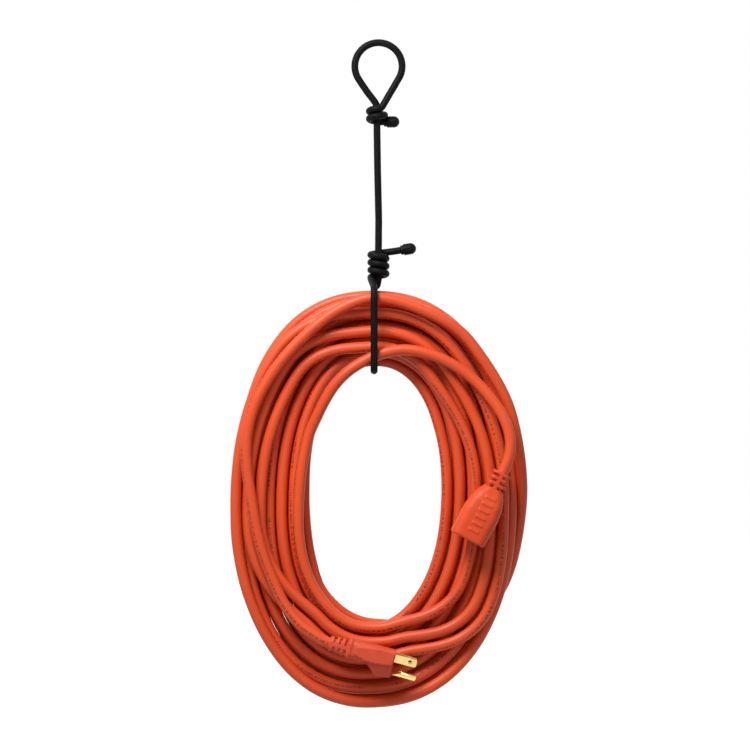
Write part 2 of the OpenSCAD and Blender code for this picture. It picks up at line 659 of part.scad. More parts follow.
hang_sweep = 125;                   // the round part of the loop reaches this far to each side of its top

// From the upper cap to the lower one: tail, wraps, loop, shank, round the hank, wraps, tail
upper_tail = [upper_tip, upper_tip - 2.5 * along(upper_cap_angle)];
upper_run = concat(upper_tail, [for (k = [0 : 24]) upper_wraps[24 - k]]);
hang_run = concat(
  [[6.2, -4.2, -45.2], [9.4, -2.6, -39.5], [13.2, -1, -33]],
  [for (k = [0 : 25]) let (a = 90 - hang_sweep + 2 * hang_sweep * k / 25)
    hang_mid + hang_r * [cos(a), 0, sin(a)]],
  [[-11, 0, -33], [-7, 0, -38.6], [-3.6, 0, -43], [-1.2, 0, -46.6]]
);
shank_run = [
  [upper_x, 0, -51], [upper_x, 0, -66], [upper_x + 0.5, 0, -100], [lower_x + 0.2, 0, -140],
  [lower_x, 0, -165], [lower_x, 0, lower_z - 0.6]
];
over_r = 6;
shift = 1.5;                        // the shank moves this far to the left as it passes over
over_run = concat(
  [for (a = [30, 60, 90])
    [lower_x - shift * a / 90, over_r - over_r * cos(a), over_z + over_r - over_r * sin(a)]],
  [for (a = [0, 30, 60, 90]) [tie_x, back_y - over_r + over_r * sin(a), over_z - over_r + over_r * cos(a)]]
);
leg_top = over_z - over_r - 2;
tail_top = on_hank([tie_x, -front_pass, -203.6]);   // the plug's end of the cord, under the tie
shoulder_r = cord_d / 2 + bundle_gap + tie_d / 2;   // the tie's bend round it
front_leg_top = tail_top[2] - shoulder_r - 0.4;
bend_steps = 6;
bundle_run = concat(
  [[tie_x, back_y, leg_top]],
  [for (k = [0 : bend_steps]) let (a = 90 * k / bend_steps)
    [tie_x, back_y - bend_r + bend_r * cos(a), swing_z + bend_r - bend_r * sin(a)]],
  [for (k = [0 : bend_steps]) let (a = 90 * k / bend_steps)
    [tie_x, front_y + bend_r - bend_r * sin(a), swing_z + bend_r - bend_r * cos(a)]],
  [[tie_x, front_y, front_leg_top]]
);
lower_run = concat(
  [for (a = [180, 155, 130, 105])
    [tie_x, tail_top[1] + shoulder_r * cos(a), tail_top[2] + shoulder_r * sin(a)]],
  [[tie_x - 0.5, -19, over_z - 0.5], [tie_x - 1.3, -12.5, over_z + 1.8], [tie_x - 2.2, -6, lower_z - 2.1]],
  lower_wraps,
  [lower_tip - 6 * along(lower_cap_angle), lower_tip]
);
tie_route = concat(upper_run, hang_run, shank_run, over_run, bundle_run, lower_run);
tie_frames = frames(tie_route);
upper_last = len(upper_run) - 1;
hang_last = upper_last + len(hang_run) + 1;
shank_last = hang_last + len(shank_run) + len(over_run);
bundle_last = shank_last + len(bundle_run) - 1;
tie_last = len(tie_route) - 1;

module sleeve(a, b) {
  color("dimgray") difference() {
    tube_on(slice(tie_route, a, b), slice(tie_frames, a, b), tie_d, tie_sides);
    bore_on(slice(tie_route, a, b), slice(tie_frames, a, b), core_bore, core_sides);
  }
}
module tie_upper_knot() { sleeve(0, upper_last); }
module tie_hang_loop() { sleeve(upper_last, hang_last); }
module tie_shank() { sleeve(hang_last, shank_last); }
module tie_lower_knot() { sleeve(bundle_last, tie_last); }

// The loop round the hank, from true cylinders and bends, because the hank turns on its lowest rod
module bend(d) {
  rotate([90, 0, 90]) rotate_extrude(angle = 90) translate([bend_r, 0]) circle(d = d);
}
module bundle_shape(d, over) {
  translate([tie_x, back_y, swing_z + bend_r]) cylinder(d = d, h = leg_top - swing_z - bend_r + over);
  translate([tie_x, front_y, swing_z + bend_r]) cylinder(d = d, h = front_leg_top - swing_z - bend_r + over);
  translate([tie_x, front_y + bend_r, swing_z]) rotate([-90, 0, 0])
    cylinder(d = d, h = back_y - front_y - 2 * bend_r);
  translate([tie_x, back_y - bend_r, swing_z + bend_r]) mirror([0, 0, 1]) bend(d);
  translate([tie_x, front_y + bend_r, swing_z + bend_r]) mirror([0, 1, 0]) mirror([0, 0, 1]) bend(d);
}
module tie_bundle_loop() {
  color("dimgray") difference() {
    bundle_shape(tie_d, 0);
    bundle_shape(core_bore, 0.05);
  }
}
core_in_cap = 6;
cap_neck_d = cap_d - 1.6;
module cap() {
  difference() {
    rotate([0, 90, 0]) rotate_extrude() polygon(concat(
      [[0, 0], [cap_neck_d / 2, 0], [cap_neck_d / 2, 2.2], [cap_d / 2, 2.6], [cap_d / 2, cap_l - cap_d / 2]],
      [for (a = [10 : 10 : 90]) [cap_d / 2 * cos(a), cap_l - cap_d / 2 + cap_d / 2 * sin(a)]]
    ));
    rod_x(-cut, core_in_cap + slip, core_bore);
  }
}
module tie_cap_upper() {
  color("dimgray") translate(upper_tip) rotate([0, -upper_cap_angle, 0]) cap();
}
module tie_cap_lower() {
  color("dimgray") translate(lower_tip) rotate([0, -lower_cap_angle, 0]) cap();
}
module tie_core_wire() {
  core_route = concat([upper_tip + core_in_cap * along(upper_cap_angle)], tie_route,
    [lower_tip + core_in_cap * along(lower_cap_angle)]);
  color("silver") tube(core_route, core_d, core_sides);
}

cord_coil();
cord_plug_tail();
cord_connector_tail();
plug_body();
plug_bridge();
plug_blade_line();
plug_blade_neutral();
plug_ground_pin();
plug_wire_line();
plug_wire_neutral();
plug_wire_ground();
plug_strands();
connector_body();
connector_insert();
contact_line();
contact_neutral();
contact_ground();
connector_wire_line();
connector_wire_neutral();
connector_wire_ground();
connector_strands();
tie_hang_loop();
tie_upper_knot();
tie_shank();
tie_bundle_loop();
tie_lower_knot();
tie_cap_upper();
tie_cap_lower();
tie_core_wire();
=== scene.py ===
# %% [markdown]
# # An extension cord in a hank, hung from a bendable tie
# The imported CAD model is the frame. It has every piece in its true place, in metres, with +Z up and
# the front of the hank towards -Y. This script dresses it: the orange cord, the two mouldings and
# the rubber tie become smooth meshes, and every piece gets a procedural material.

# %% Load the frame and keep its box
import json
import math

import bmesh
import bpy
import numpy as np
from mathutils import Matrix, Vector

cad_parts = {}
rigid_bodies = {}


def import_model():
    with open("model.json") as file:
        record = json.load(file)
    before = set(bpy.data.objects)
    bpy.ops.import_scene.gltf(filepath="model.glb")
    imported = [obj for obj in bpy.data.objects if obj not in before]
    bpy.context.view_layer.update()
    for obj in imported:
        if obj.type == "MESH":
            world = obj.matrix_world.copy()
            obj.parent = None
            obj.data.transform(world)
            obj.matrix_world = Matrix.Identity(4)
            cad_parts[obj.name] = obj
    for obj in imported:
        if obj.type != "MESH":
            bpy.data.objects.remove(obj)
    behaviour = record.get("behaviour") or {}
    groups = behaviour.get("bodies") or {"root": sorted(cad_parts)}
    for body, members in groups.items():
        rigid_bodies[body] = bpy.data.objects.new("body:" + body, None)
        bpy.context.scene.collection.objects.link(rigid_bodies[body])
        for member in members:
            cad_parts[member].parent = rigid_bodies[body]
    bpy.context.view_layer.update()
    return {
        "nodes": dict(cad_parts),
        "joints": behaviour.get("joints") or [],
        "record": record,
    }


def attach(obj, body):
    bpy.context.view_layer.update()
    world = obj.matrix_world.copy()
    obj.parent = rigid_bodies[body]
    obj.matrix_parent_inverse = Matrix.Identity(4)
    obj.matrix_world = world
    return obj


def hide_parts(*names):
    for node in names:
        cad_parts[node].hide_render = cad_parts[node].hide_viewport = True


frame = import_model()
nodes = frame["nodes"]
swing = frame["joints"][0]

# %% [markdown]
# ## The camera
# The object hangs in free air and is seen straight from the front through a long lens, so its back
# and front are drawn at nearly one size. The lens and the distance together take in 600 mm.

# %% Camera
MM = 0.001
lens_mm = 120
sensor_mm = 36
seen_width = 600 * MM
view_centre = Vector((-2, -20, -265.6)) * MM
camera_distance = seen_width * lens_mm / sensor_mm

camera_data = bpy.data.cameras.new("camera")
camera_data.lens = lens_mm
camera_data.sensor_width = sensor_mm
camera = bpy.data.objects.new("camera", camera_data)
camera.location = view_centre - Vector((0, camera_distance, 0))
camera.rotation_euler = (math.radians(90), 0, 0)
bpy.context.scene.collection.objects.link(camera)
bpy.context.scene.camera = camera
print("camera stands", round(camera_distance, 2), "m away")

# %% [markdown]
# ## Lines and tubes
# A cord and a wrapped tie are the same thing to build: a line through space with a round section
# carried along it. A mesh of our own can be a little out of round, as a real jacket is, and it
# gets a UV map in true lengths, which the materials use.

# %% Smooth lines
curve_parts = 12


def unit(v):
    """The same direction, one long."""
    return v / np.linalg.norm(v, axis=-1, keepdims=True)


def arc_lengths(line):
    """How far along the line each of its points lies."""
    steps = np.linalg.norm(np.diff(line, axis=0), axis=1)
    return np.concatenate([[0.0], np.cumsum(steps)])


def even_line(line, step):
    """The same line, as points at one even step along it."""
    along = arc_lengths(line)
    count = max(2, int(round(along[-1] / step)) + 1)
    even = np.linspace(0, along[-1], count)
    return np.stack([np.interp(even, along, line[:, i]) for i in range(3)], axis=1)


def smooth_line(points, step):
    """A cubic curve through the points, then points on it at one even step."""
    points = np.asarray(points, float)
    gaps = np.linalg.norm(np.diff(points, axis=0), axis=1)
    knots = np.concatenate([[0.0], np.cumsum(np.sqrt(gaps))])
    slopes = np.gradient(points, knots, axis=0)
    spans = np.repeat(np.arange(len(points) - 1), curve_parts)
    u = np.tile(np.arange(curve_parts) / curve_parts, len(points) - 1)[:, None]
    width = np.diff(knots)[spans][:, None]
    a, b = points[spans], points[spans + 1]
    ma, mb = slopes[spans] * width, slopes[spans + 1] * width
    fine = (
        (2 * u**3 - 3 * u**2 + 1) * a
        + (u**3 - 2 * u**2 + u) * ma
        + (3 * u**2 - 2 * u**3) * b
        + (u**3 - u**2) * mb
    )
    return even_line(np.vstack([fine, points[-1]]), step)


def carried_frames(line):
    """For each point, two directions square to the line, turned no more than the line turns."""
    tangents = unit(np.gradient(line, axis=0))
    normal = np.array([0.0, 1.0, 0.0]) if abs(tangents[0][1]) < 0.8 else np.array([1.0, 0.0, 0.0])
    sides = np.zeros_like(line)
    for i, tangent in enumerate(tangents):
        normal = normal - tangent * normal.dot(tangent)
        normal = normal / np.linalg.norm(normal)
        sides[i] = normal
    return sides, np.cross(tangents, sides)


print("parts in each span:", curve_parts)

# %% [markdown]
# Each ring of the tube is a circle whose radius comes from a small function of the place along the
# line and the angle round it. The seam of the UV map runs along the tube, with lengths in metres.

# %% A tube mesh
def new_object(name, mesh):
    obj = bpy.data.objects.new(name, mesh)
    bpy.context.scene.collection.objects.link(obj)
    return obj


def tube(name, line, radius_at, sides):
    """A tube round a line. radius_at gives its radius at (metres along, angle round)."""
    first, second = carried_frames(line)
    along = arc_lengths(line)
    turn = np.linspace(0, 2 * np.pi, sides, endpoint=False)
    radius = radius_at(along[:, None], turn[None, :]) + np.zeros((len(line), sides))
    cosine, sine = np.cos(turn)[None, :, None], np.sin(turn)[None, :, None]
    outward = cosine * first[:, None, :] + sine * second[:, None, :]
    ring_points = line[:, None, :] + radius[:, :, None] * outward
    rings = len(line)
    i, j = np.meshgrid(np.arange(rings - 1), np.arange(sides), indexing="ij")
    k = (j + 1) % sides
    walls = np.stack([i * sides + j, i * sides + k, (i + 1) * sides + k, (i + 1) * sides + j], axis=-1)
    ends = [list(range(sides))[::-1], list(range((rings - 1) * sides, rings * sides))]
    mesh = bpy.data.meshes.new(name)
    faces = walls.reshape(-1, 4).tolist() + ends
    mesh.from_pydata(ring_points.reshape(-1, 3).tolist(), [], faces)
    uv = mesh.uv_layers.new(name="true_size")
    girth = 2 * np.pi * float(radius.mean())
    u0, u1 = j / sides * girth, (j + 1) / sides * girth
    v0, v1 = along[i], along[i + 1]
    corners = np.stack([u0, v0, u1, v0, u1, v1, u0, v1], axis=-1).reshape(-1, 2)
    flat = np.zeros((len(mesh.loops), 2), np.float32)
    flat[: len(corners)] = corners
    uv.data.foreach_set("uv", flat.ravel())
    mesh.shade_smooth()
    for cap in mesh.polygons[-2:]:
        cap.use_smooth = False
    return new_object(name, mesh)


print("tubes get a UV map named true_size")

# %% [markdown]
# ## Nodes for the materials
# Every finish here is a Principled shader with a little variation in colour, roughness and height.
# One small helper adds a node, sets its values and links its inputs, which keeps the recipes short.

# %% Adding nodes
def new_material(name, color, roughness, **constants):
    material = bpy.data.materials.new(name)
    material.use_nodes = True
    material.diffuse_color = (*color, 1)
    shader = material.node_tree.nodes["Principled BSDF"]
    shader.inputs["Base Color"].default_value = (*color, 1)
    shader.inputs["Roughness"].default_value = roughness
    for key, value in constants.items():
        shader.inputs[key.replace("_", " ")].default_value = value
    return material


def add(owner, kind, values=None, **links):
    """Adds a node. values go to its inputs, and links join another node's output to an input."""
    tree = owner.node_tree
    node = tree.nodes.new(kind)
    for key, value in (values or {}).items():
        if isinstance(key, str) and hasattr(node, key):
            setattr(node, key, value)
        else:
            node.inputs[key].default_value = value
    for key, output in links.items():
        tree.links.new(output, node.inputs[key.replace("_", " ")])
    return node


def math_of(owner, operation, first, second):
    """A maths node that takes two other nodes' outputs."""
    node = add(owner, "ShaderNodeMath", {"operation": operation}, Value=first)
    owner.node_tree.links.new(second, node.inputs[1])
    return node.outputs[0]


def join(material, output, socket):
    material.node_tree.links.new(output, material.node_tree.nodes["Principled BSDF"].inputs[socket])


print("helpers: add, math_of, join")

# %% [markdown]
# Four recipes come up in every finish: a colour between two tones, a roughness between two levels,
# a slight relief, and the noise that drives them.

# %% Recipes for the finishes
def colour_between(material, factor, dark, light, low=0.3, high=0.7):
    ramp = add(material, "ShaderNodeValToRGB", Fac=factor)
    ramp.color_ramp.elements[0].position = low
    ramp.color_ramp.elements[0].color = (*dark, 1)
    ramp.color_ramp.elements[1].position = high
    ramp.color_ramp.elements[1].color = (*light, 1)
    join(material, ramp.outputs["Color"], "Base Color")
    return ramp


def rough_between(material, factor, low, high):
    spread = add(material, "ShaderNodeMapRange", {"To Min": low, "To Max": high}, Value=factor)
    join(material, spread.outputs["Result"], "Roughness")


def raised_by(material, height, depth, strength=1.0):
    bump = add(material, "ShaderNodeBump", {"Strength": strength, "Distance": depth}, Height=height)
    join(material, bump.outputs["Normal"], "Normal")


def noise(material, scale, detail=4.0, vector=None, stretch=None):
    """Noise in the object's own metres, or in the UV map's, stretched if asked."""
    place = add(material, "ShaderNodeTexCoord")
    out = place.outputs["UV" if vector == "uv" else "Object"]
    if stretch is not None:
        out = add(material, "ShaderNodeMapping", {"Scale": stretch}, Vector=out).outputs["Vector"]
    texture = add(material, "ShaderNodeTexNoise", {"Scale": scale, "Detail": detail}, Vector=out)
    return texture.outputs["Fac"]


print("recipes: colour, roughness, relief, noise")

# %% [markdown]
# ## The cord's jacket
# The jacket is extruded vinyl in safety orange. It is satin, with fine scuffs along its length
# where it has been pulled over floors, and its colour drifts a little from one length to the next.
# The scuffs use the UV map, stretched along the cord, so that they bend with every loop. So does a
# faint row of plain ink ticks that winds slowly round the jacket, where a real cord has its print.

# %% Jacket material
jacket_orange = (0.74, 0.084, 0.019)
jacket_deep = (0.63, 0.062, 0.014)
jacket_ink = (0.16, 0.012, 0.004)
ink_strength = 0.75
ink_half_width = 0.032
ink_turns_per_m = 0.7
ink_breaks = ((520, 0.47, 0.52), (26, 0.40, 0.44))
cord_d = 9.0 * MM


def ink_ticks(material):
    """1 where the jacket has a tick of ink, and 0 beside it."""
    place = add(material, "ShaderNodeTexCoord")
    parts = add(material, "ShaderNodeSeparateXYZ", Vector=place.outputs["UV"])
    times = {"operation": "MULTIPLY", 1: 1 / (math.pi * cord_d)}
    round_it = add(material, "ShaderNodeMath", times, Value=parts.outputs["X"])
    times_and_add = {"operation": "MULTIPLY_ADD", 1: ink_turns_per_m}
    wound = add(material, "ShaderNodeMath", times_and_add, Value=parts.outputs["Y"])
    material.node_tree.links.new(round_it.outputs[0], wound.inputs[2])
    share = add(material, "ShaderNodeMath", {"operation": "FRACT"}, Value=wound.outputs[0])
    near_half = {"operation": "COMPARE", 1: 0.5, 2: ink_half_width}
    ink = add(material, "ShaderNodeMath", near_half, Value=share.outputs[0]).outputs[0]
    for scale, low, high in ink_breaks:
        along = noise(material, scale, 1, vector="uv", stretch=(0, 1, 0))
        step = add(material, "ShaderNodeMapRange", {"From Min": low, "From Max": high}, Value=along)
        ink = math_of(material, "MULTIPLY", ink, step.outputs["Result"])
    return ink


def make_jacket():
    material = new_material("jacket_vinyl", jacket_orange, 0.46, Specular_IOR_Level=0.38)
    drift = noise(material, 9, 3)
    plain = colour_between(material, drift, jacket_deep, jacket_orange, 0.25, 0.6)
    fading = {"operation": "MULTIPLY", 1: ink_strength}
    faint = add(material, "ShaderNodeMath", fading, Value=ink_ticks(material))
    printed = add(
        material, "ShaderNodeMixRGB", {"Color2": (*jacket_ink, 1)},
        Fac=faint.outputs[0], Color1=plain.outputs["Color"],
    )
    join(material, printed.outputs["Color"], "Base Color")
    scuffs = noise(material, 900, 5, vector="uv", stretch=(1, 0.06, 1))
    rough_between(material, scuffs, 0.38, 0.54)
    raised_by(material, scuffs, 0.00012, 0.35)
    return material


jacket = make_jacket()
print("material", jacket.name)

# %% [markdown]
# ## The hank
# The cord is wound in four layers. The back layer spirals outwards from the hole to the rim, the
# next one spirals back in, and so on to the front, which is how a hank grows when its turns are
# laid one by one over a hand and an elbow. The rim and the hole are both a little squarer than an
# ellipse, so each turn is a mix of the two outlines. The front layer has fewer turns than there is
# room for, so it wanders between the rim and the hole and crosses the turns behind it. Each row of
# front_band is an angle in degrees and the two shares of that way between which the layer lies.

# %% The hank's numbers
layers = 4
layer_pitch = 9.5 * MM
start_angle = 210
end_angle = 165
turns = 19 + (start_angle - end_angle) / 360
layer_share = (0.2745, 0.2745, 0.2797, 0.1713)
layer_end = turns * np.concatenate([[0], np.cumsum(layer_share)])
front_band = np.array([
    (0, 0.35, 0.95), (50, 0.05, 0.85), (95, 0.05, 0.8), (135, 0.3, 1), (185, 0.4, 1),
    (235, 0, 0.58), (285, 0, 0.6), (330, 0.4, 1), (360, 0.35, 0.95),
])
settle_turns = 0.7
climb_turns = 0.4
sway = 3.5 * MM
sway_shift = 60
rim_mid = np.array([-2.2, -366.3]) * MM
rim_half = np.array([116.5, 170.0]) * MM - cord_d / 2
rim_power = 2.25
hole_mid = np.array([-3.0, -362.2]) * MM
hole_half = np.array([53.0, 102.0]) * MM + cord_d / 2
hole_power = 2.2
hole_lean = 0.02
print("the hank has", turns, "turns in", layers, "layers")

# %% [markdown]
# ease is the usual smooth step from 0 to 1, with which a turn climbs from one layer to the next and
# the front layer's band moves without a corner. lobe turns a circle into a squarer outline.

# %% Where a turn lies
def lobe(c, power):
    return np.sign(c) * np.abs(c) ** (2 / power)


def ease(u):
    v = np.clip(u, 0, 1)
    return v * v * (3 - 2 * v)


def mix(a, b, u):
    return a + (b - a) * ease(u)


def band_at(degrees):
    """Where the front layer's innermost and outermost turn lie: 0 at the hole and 1 at the rim."""
    a = np.mod(degrees, 360)
    i = np.searchsorted(front_band[:, 0], a, side="right") - 1
    p, q = front_band[i], front_band[i + 1]
    band = mix(p, q, ((a - p[:, 0]) / (q[:, 0] - p[:, 0]))[:, None])
    return band[:, 1], band[:, 2]


def spread_at(t):
    """0 at the hole and 1 at the rim, at t turns from the start."""
    k = np.clip(np.searchsorted(layer_end, t, side="right") - 1, 0, layers - 1)
    share = (t - layer_end[k]) / (layer_end[k + 1] - layer_end[k])
    low, high = band_at(start_angle - 360 * t)
    low = mix(low, 0, (t - turns) / settle_turns + 1)
    high = mix(1, high, (t - layer_end[3]) / settle_turns)
    return np.where(k == 3, high + (low - high) * share, np.where(k == 1, 1 - share, share))


print("the first turn starts at", float(spread_at(np.array([0.0]))[0]), "and 1 is the rim")

# %% [markdown]
# One formula gives the whole hank. A little sway moves each layer's turns sideways in a direction
# of its own, because turns that are laid by hand never stack exactly.

# %% The hank's line
rings_per_turn = 24


def hank_line(t):
    """Points of the hank at t turns from its start."""
    angle = np.radians(start_angle - 360 * t)
    round_trip = np.stack([np.cos(angle), np.sin(angle)], axis=1)
    inner = hole_mid + hole_half * lobe(round_trip, hole_power)
    inner[:, 0] += hole_lean * (inner[:, 1] - hole_mid[1])
    outer = rim_mid + rim_half * lobe(round_trip, rim_power)
    spread = spread_at(t)[:, None]
    layer = sum(ease((t - end) / climb_turns + 0.5) for end in layer_end[1:layers])
    wave = np.cos(2 * angle + np.radians(sway_shift) * layer - np.pi)
    drift = sway * (1 - np.sin(angle)) / 2 * wave
    place = inner + (outer - inner) * spread + unit(outer - inner) * drift[:, None]
    depth = ((layers - 1) / 2 - layer) * layer_pitch
    return np.stack([place[:, 0], depth, place[:, 1]], axis=1)


hank = hank_line(np.arange(int(turns * rings_per_turn) + 1) / rings_per_turn)
print("hank:", len(hank), "points,", round(float(arc_lengths(hank)[-1]), 2), "m")

# %% [markdown]
# ## The cord's two free ends
# From the hank's start, at the back, the cord comes round to the front and ends in the plug. From
# its end, at the front, it runs over the top of the hole to the connector. Both runs go through
# listed points, some of them measured from the hole's edge. The plug and the
# connector each have a middle point on their face and a direction, and the cord leaves them straight.

# %% The fittings' places
plug_mid, plug_angle = (13, -31.8, -492.4), 15
connector_mid, connector_angle = (71.1, -31.8, -396.1), 118.3
plug_l, plug_relief_l = 37.6, 15.5
connector_l, connector_relief_l = 45.4, 14.4
jacket_in_body = 3.6
lead = 4
joint_lead = 1


def placed(middle, degrees, distance):
    """A point on the fitting's own axis, at a distance in front of its face."""
    a = math.radians(degrees)
    return np.array(middle) + distance * np.array([math.cos(a), 0, -math.sin(a)])


def inside_hole(degrees, depth, inset):
    """A point at an angle round the hole, just inside its edge."""
    a = math.radians(degrees)
    edge = hole_mid + hole_half * lobe(np.array([math.cos(a), math.sin(a)]), hole_power)
    edge[0] += hole_lean * (edge[1] - hole_mid[1])
    x, z = (edge + unit(hole_mid - edge) * inset * MM) / MM
    return x, depth, z


print("plug at", plug_mid, "connector at", connector_mid)

# %% [markdown]
# These are the listed points, in millimetres. The plug's end starts beside the plug, goes up
# the left side, over the top and down the right side, where it passes to the back. The connector's
# end follows the hole's edge up to its top and comes down on the right.

# %% Points of the free ends
plug_tail = [
    (-50, -31.6, -472.8), (-62, -30, -464), (-74.5, -27, -448), (-85, -24.5, -426),
    (-94, -24, -400), (-101, -24, -364), (-105, -24, -326), (-100, -24, -295),
    (-84, -24, -264), (-60, -24, -236), (-30, -24, -213), (0, -24, -204),
    (61, -24, -227), (84, -24, -253), (103.5, -20.5, -287), (112.6, -14, -321), (116.6, -3, -356),
    (114.5, 10, -391), (108, 19.5, -423), (97, 24, -446), (79, 24, -459), (56, 24, -467.5),
    (32, 24, -472.5), inside_hole(281, 24, -3), inside_hole(266, 23.5, 0.5),
    inside_hole(251, 20.5, 2), inside_hole(236, 16.8, 1.6), inside_hole(224, 14.7, 0.3),
]
connector_tail = [
    inside_hole(153.5, -14.8, -0.2), inside_hole(146, -16.8, 1.4), inside_hole(136, -20, 2.2),
    inside_hole(122, -23, 1.5), inside_hole(107, -24, 0), (2, -24, -249),
    (22, -24, -245.5), (43, -24, -249.5), (62, -24, -258.5), (78, -24.5, -270.5),
    (91.5, -27, -285.5), (101.2, -29.5, -301), (105.6, -31, -315.5), (105.2, -31.7, -328.5),
]
print("points:", len(plug_tail), "to the plug,", len(connector_tail), "to the connector")

# %% [markdown]
# The parts of the cord are joined in order, from inside the plug to inside the connector, and
# spaced evenly. The free ends meet the hank in the direction in which it runs.

# %% The whole cord
run_step = 2
cord_step = 5 * MM
fine_rings_per_turn = 180
nudge = 0.001


def heading_at(t):
    """The direction in which the hank runs, just after t turns."""
    return unit(hank_line(np.array([t + nudge]))[0] - hank_line(np.array([t]))[0])


start_heading, end_heading = heading_at(0.0), heading_at(turns - nudge)
hank_start = hank[0] / MM - cord_d / MM * start_heading
hank_end = hank[-1] / MM + cord_d / MM * end_heading
plug_run = smooth_line([
    placed(plug_mid, plug_angle, -plug_l - plug_relief_l - lead),
    *plug_tail, hank_start - joint_lead * start_heading,
], run_step) * MM
connector_run = smooth_line([
    hank_end + joint_lead * end_heading, *connector_tail,
    placed(connector_mid, connector_angle, -connector_l - connector_relief_l - lead),
], run_step) * MM
wound = hank_line(np.linspace(0, turns, int(turns * fine_rings_per_turn)))
plug_end = placed(plug_mid, plug_angle, -plug_l + jacket_in_body) * MM
connector_end = placed(connector_mid, connector_angle, -connector_l + jacket_in_body) * MM
cord_line = even_line(np.vstack([plug_end, plug_run, wound, connector_run, connector_end]), cord_step)
print("the whole cord:", len(cord_line), "rings,", round(float(arc_lengths(cord_line)[-1]), 2), "m")

# %% [markdown]
# A jacket that is extruded over three twisted conductors is a little three-sided, and the flats wind
# along it with the twist. It is far too little to see on one ring, but it moves the highlights.

# %% The cord's mesh
twist_pitch = 110 * MM
lobe_height = 0.035 * MM
cores = 3
cord_sides = 16


def jacket_radius(along, turn):
    lobes = np.cos(cores * (turn - 2 * np.pi * along / twist_pitch))
    return cord_d / 2 - lobe_height + lobe_height * lobes


cord = tube("cord", cord_line, jacket_radius, cord_sides)
cord.data.materials.append(jacket)
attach(cord, "hank")
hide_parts("cord_coil", "cord_plug_tail", "cord_connector_tail")
print("cord:", len(cord.data.polygons), "faces")

# %% [markdown]
# ## The twist tie
# One length of rubber on a steel wire makes the whole tie. From its upper cap it wraps its own shank,
# rises into the hanging loop, comes down as the shank, passes over the hank and behind it, runs
# under its top, and comes up in front to wrap the shank again. Arcs and wraps come from formulas, so
# that the places where it lies against itself are a full thickness apart.

# %% The tie's numbers
tie_d = 5.8
wrap_r = tie_d + 0.35
wrap_pitch = tie_d + 0.3
bend_r = 7
hang_r = 19.1
tie_x, upper_x, lower_x = -2.7, -0.4, 0.8
front_y, back_y = -32.0, 22.25
swing_z = swing["pos_m"][2] / MM
over_z = -196.3 + tie_d / 2
upper_z = -2 * hang_r - 12.3
lower_z = over_z + 6.6
upper_turn, lower_turn = 570, 1170
upper_cap_angle, lower_cap_angle = 0, 9
print("the tie hangs the hank on a rod at", round(swing_z, 2), "mm")

# %% [markdown]
# Two helpers draw the curved parts: an arc in any plane, and a run of wraps round the upright shank.
# The two tips are where the caps go, and the tie leaves each of them straight.

# %% Arcs and wraps
def arc(middle, radius, degrees, first=(1, 0, 0), second=(0, 0, 1)):
    a = np.radians(degrees)[:, None]
    return np.array(middle) + radius * (np.cos(a) * np.array(first) + np.sin(a) * np.array(second))


def wraps(x, z, start, total, climb, steps):
    """Wraps round an upright at x, with a climb on each turn."""
    a = np.radians(start - total * np.arange(steps + 1) / steps)
    rise = z + climb * total / 360 * np.arange(steps + 1) / steps
    return np.stack([x + wrap_r * np.cos(a), wrap_r * np.sin(a), rise], axis=1)


def sloping(degrees):
    """A direction in the hank's plane, some degrees above the level."""
    return np.array([math.cos(math.radians(degrees)), 0, math.sin(math.radians(degrees))])


upper_tip = np.array([upper_x + 5.6, wrap_r, upper_z - wrap_pitch * upper_turn / 360 - 0.3])
lower_tip = np.array([lower_x + 18, wrap_r - 1.4, lower_z + wrap_pitch * lower_turn / 360 + 2.4])
upper_knot = wraps(upper_x, upper_z, -60, upper_turn, -wrap_pitch, 24)[::-1]
lower_knot = wraps(lower_x, lower_z, 180, lower_turn, wrap_pitch, 50)
hanging_loop = arc((0.8, 0, -hang_r + tie_d / 2), hang_r, np.linspace(-35, 215, 26))
print("wraps:", round(upper_turn / 360, 2), "above,", round(lower_turn / 360, 2), "below")

# %% [markdown]
# The rest of the tie's line joins those arcs. A curve through points swings out where a long straight
# stretch meets a bend, so each long stretch gets one more point near either end.

# %% The rest of the tie's line
over_r = 6
side, up = (0, 1, 0), (0, 0, 1)
leg_top = over_z - over_r - 2
tail_top = np.array([tie_x, -24, -203.6])
shoulder_r = 4.5 + 0.6 + tie_d / 2
over = []
for a in (30, 60, 90):
    back, drop = 1 - math.cos(math.radians(a)), 1 - math.sin(math.radians(a))
    over.append((lower_x - 1.5 * a / 90, over_r * back, over_z + over_r * drop))
quarter = np.linspace(0, 90, 7)
tie_points = np.vstack([
    [upper_tip, upper_tip - 2.5 * sloping(upper_cap_angle)],
    upper_knot,
    [(6.2, -4.2, -45.2), (9.4, -2.6, -39.5), (13.2, -1, -33)],
    hanging_loop,
    [(-11, 0, -33), (-7, 0, -38.6), (-3.6, 0, -43), (-1.2, 0, -46.6)],
    [(upper_x, 0, -51), (upper_x, 0, -66), (upper_x + 0.5, 0, -100), (lower_x + 0.2, 0, -140)],
    [(lower_x, 0, -165), (lower_x, 0, lower_z - 0.6)],
    over,
    arc((tie_x, back_y - over_r, over_z - over_r), over_r, np.linspace(90, 0, 4), side, up),
    [(tie_x, back_y, leg_top)],
    arc((tie_x, back_y - bend_r, swing_z + bend_r), bend_r, -quarter, side, up),
    arc((tie_x, front_y + bend_r, swing_z + bend_r), bend_r, -90 - quarter, side, up),
    [(tie_x, front_y, tail_top[2] - shoulder_r - 0.4)],
    arc(tail_top, shoulder_r, np.array([180, 155, 130, 105]), side, up),
    [(tie_x - 0.5, -19, over_z - 0.5), (tie_x - 1.3, -12.5, over_z + 1.8)],
    [(tie_x - 2.2, -6, lower_z - 2.1)],
    lower_knot,
    [lower_tip - 6 * sloping(lower_cap_angle), lower_tip],
])


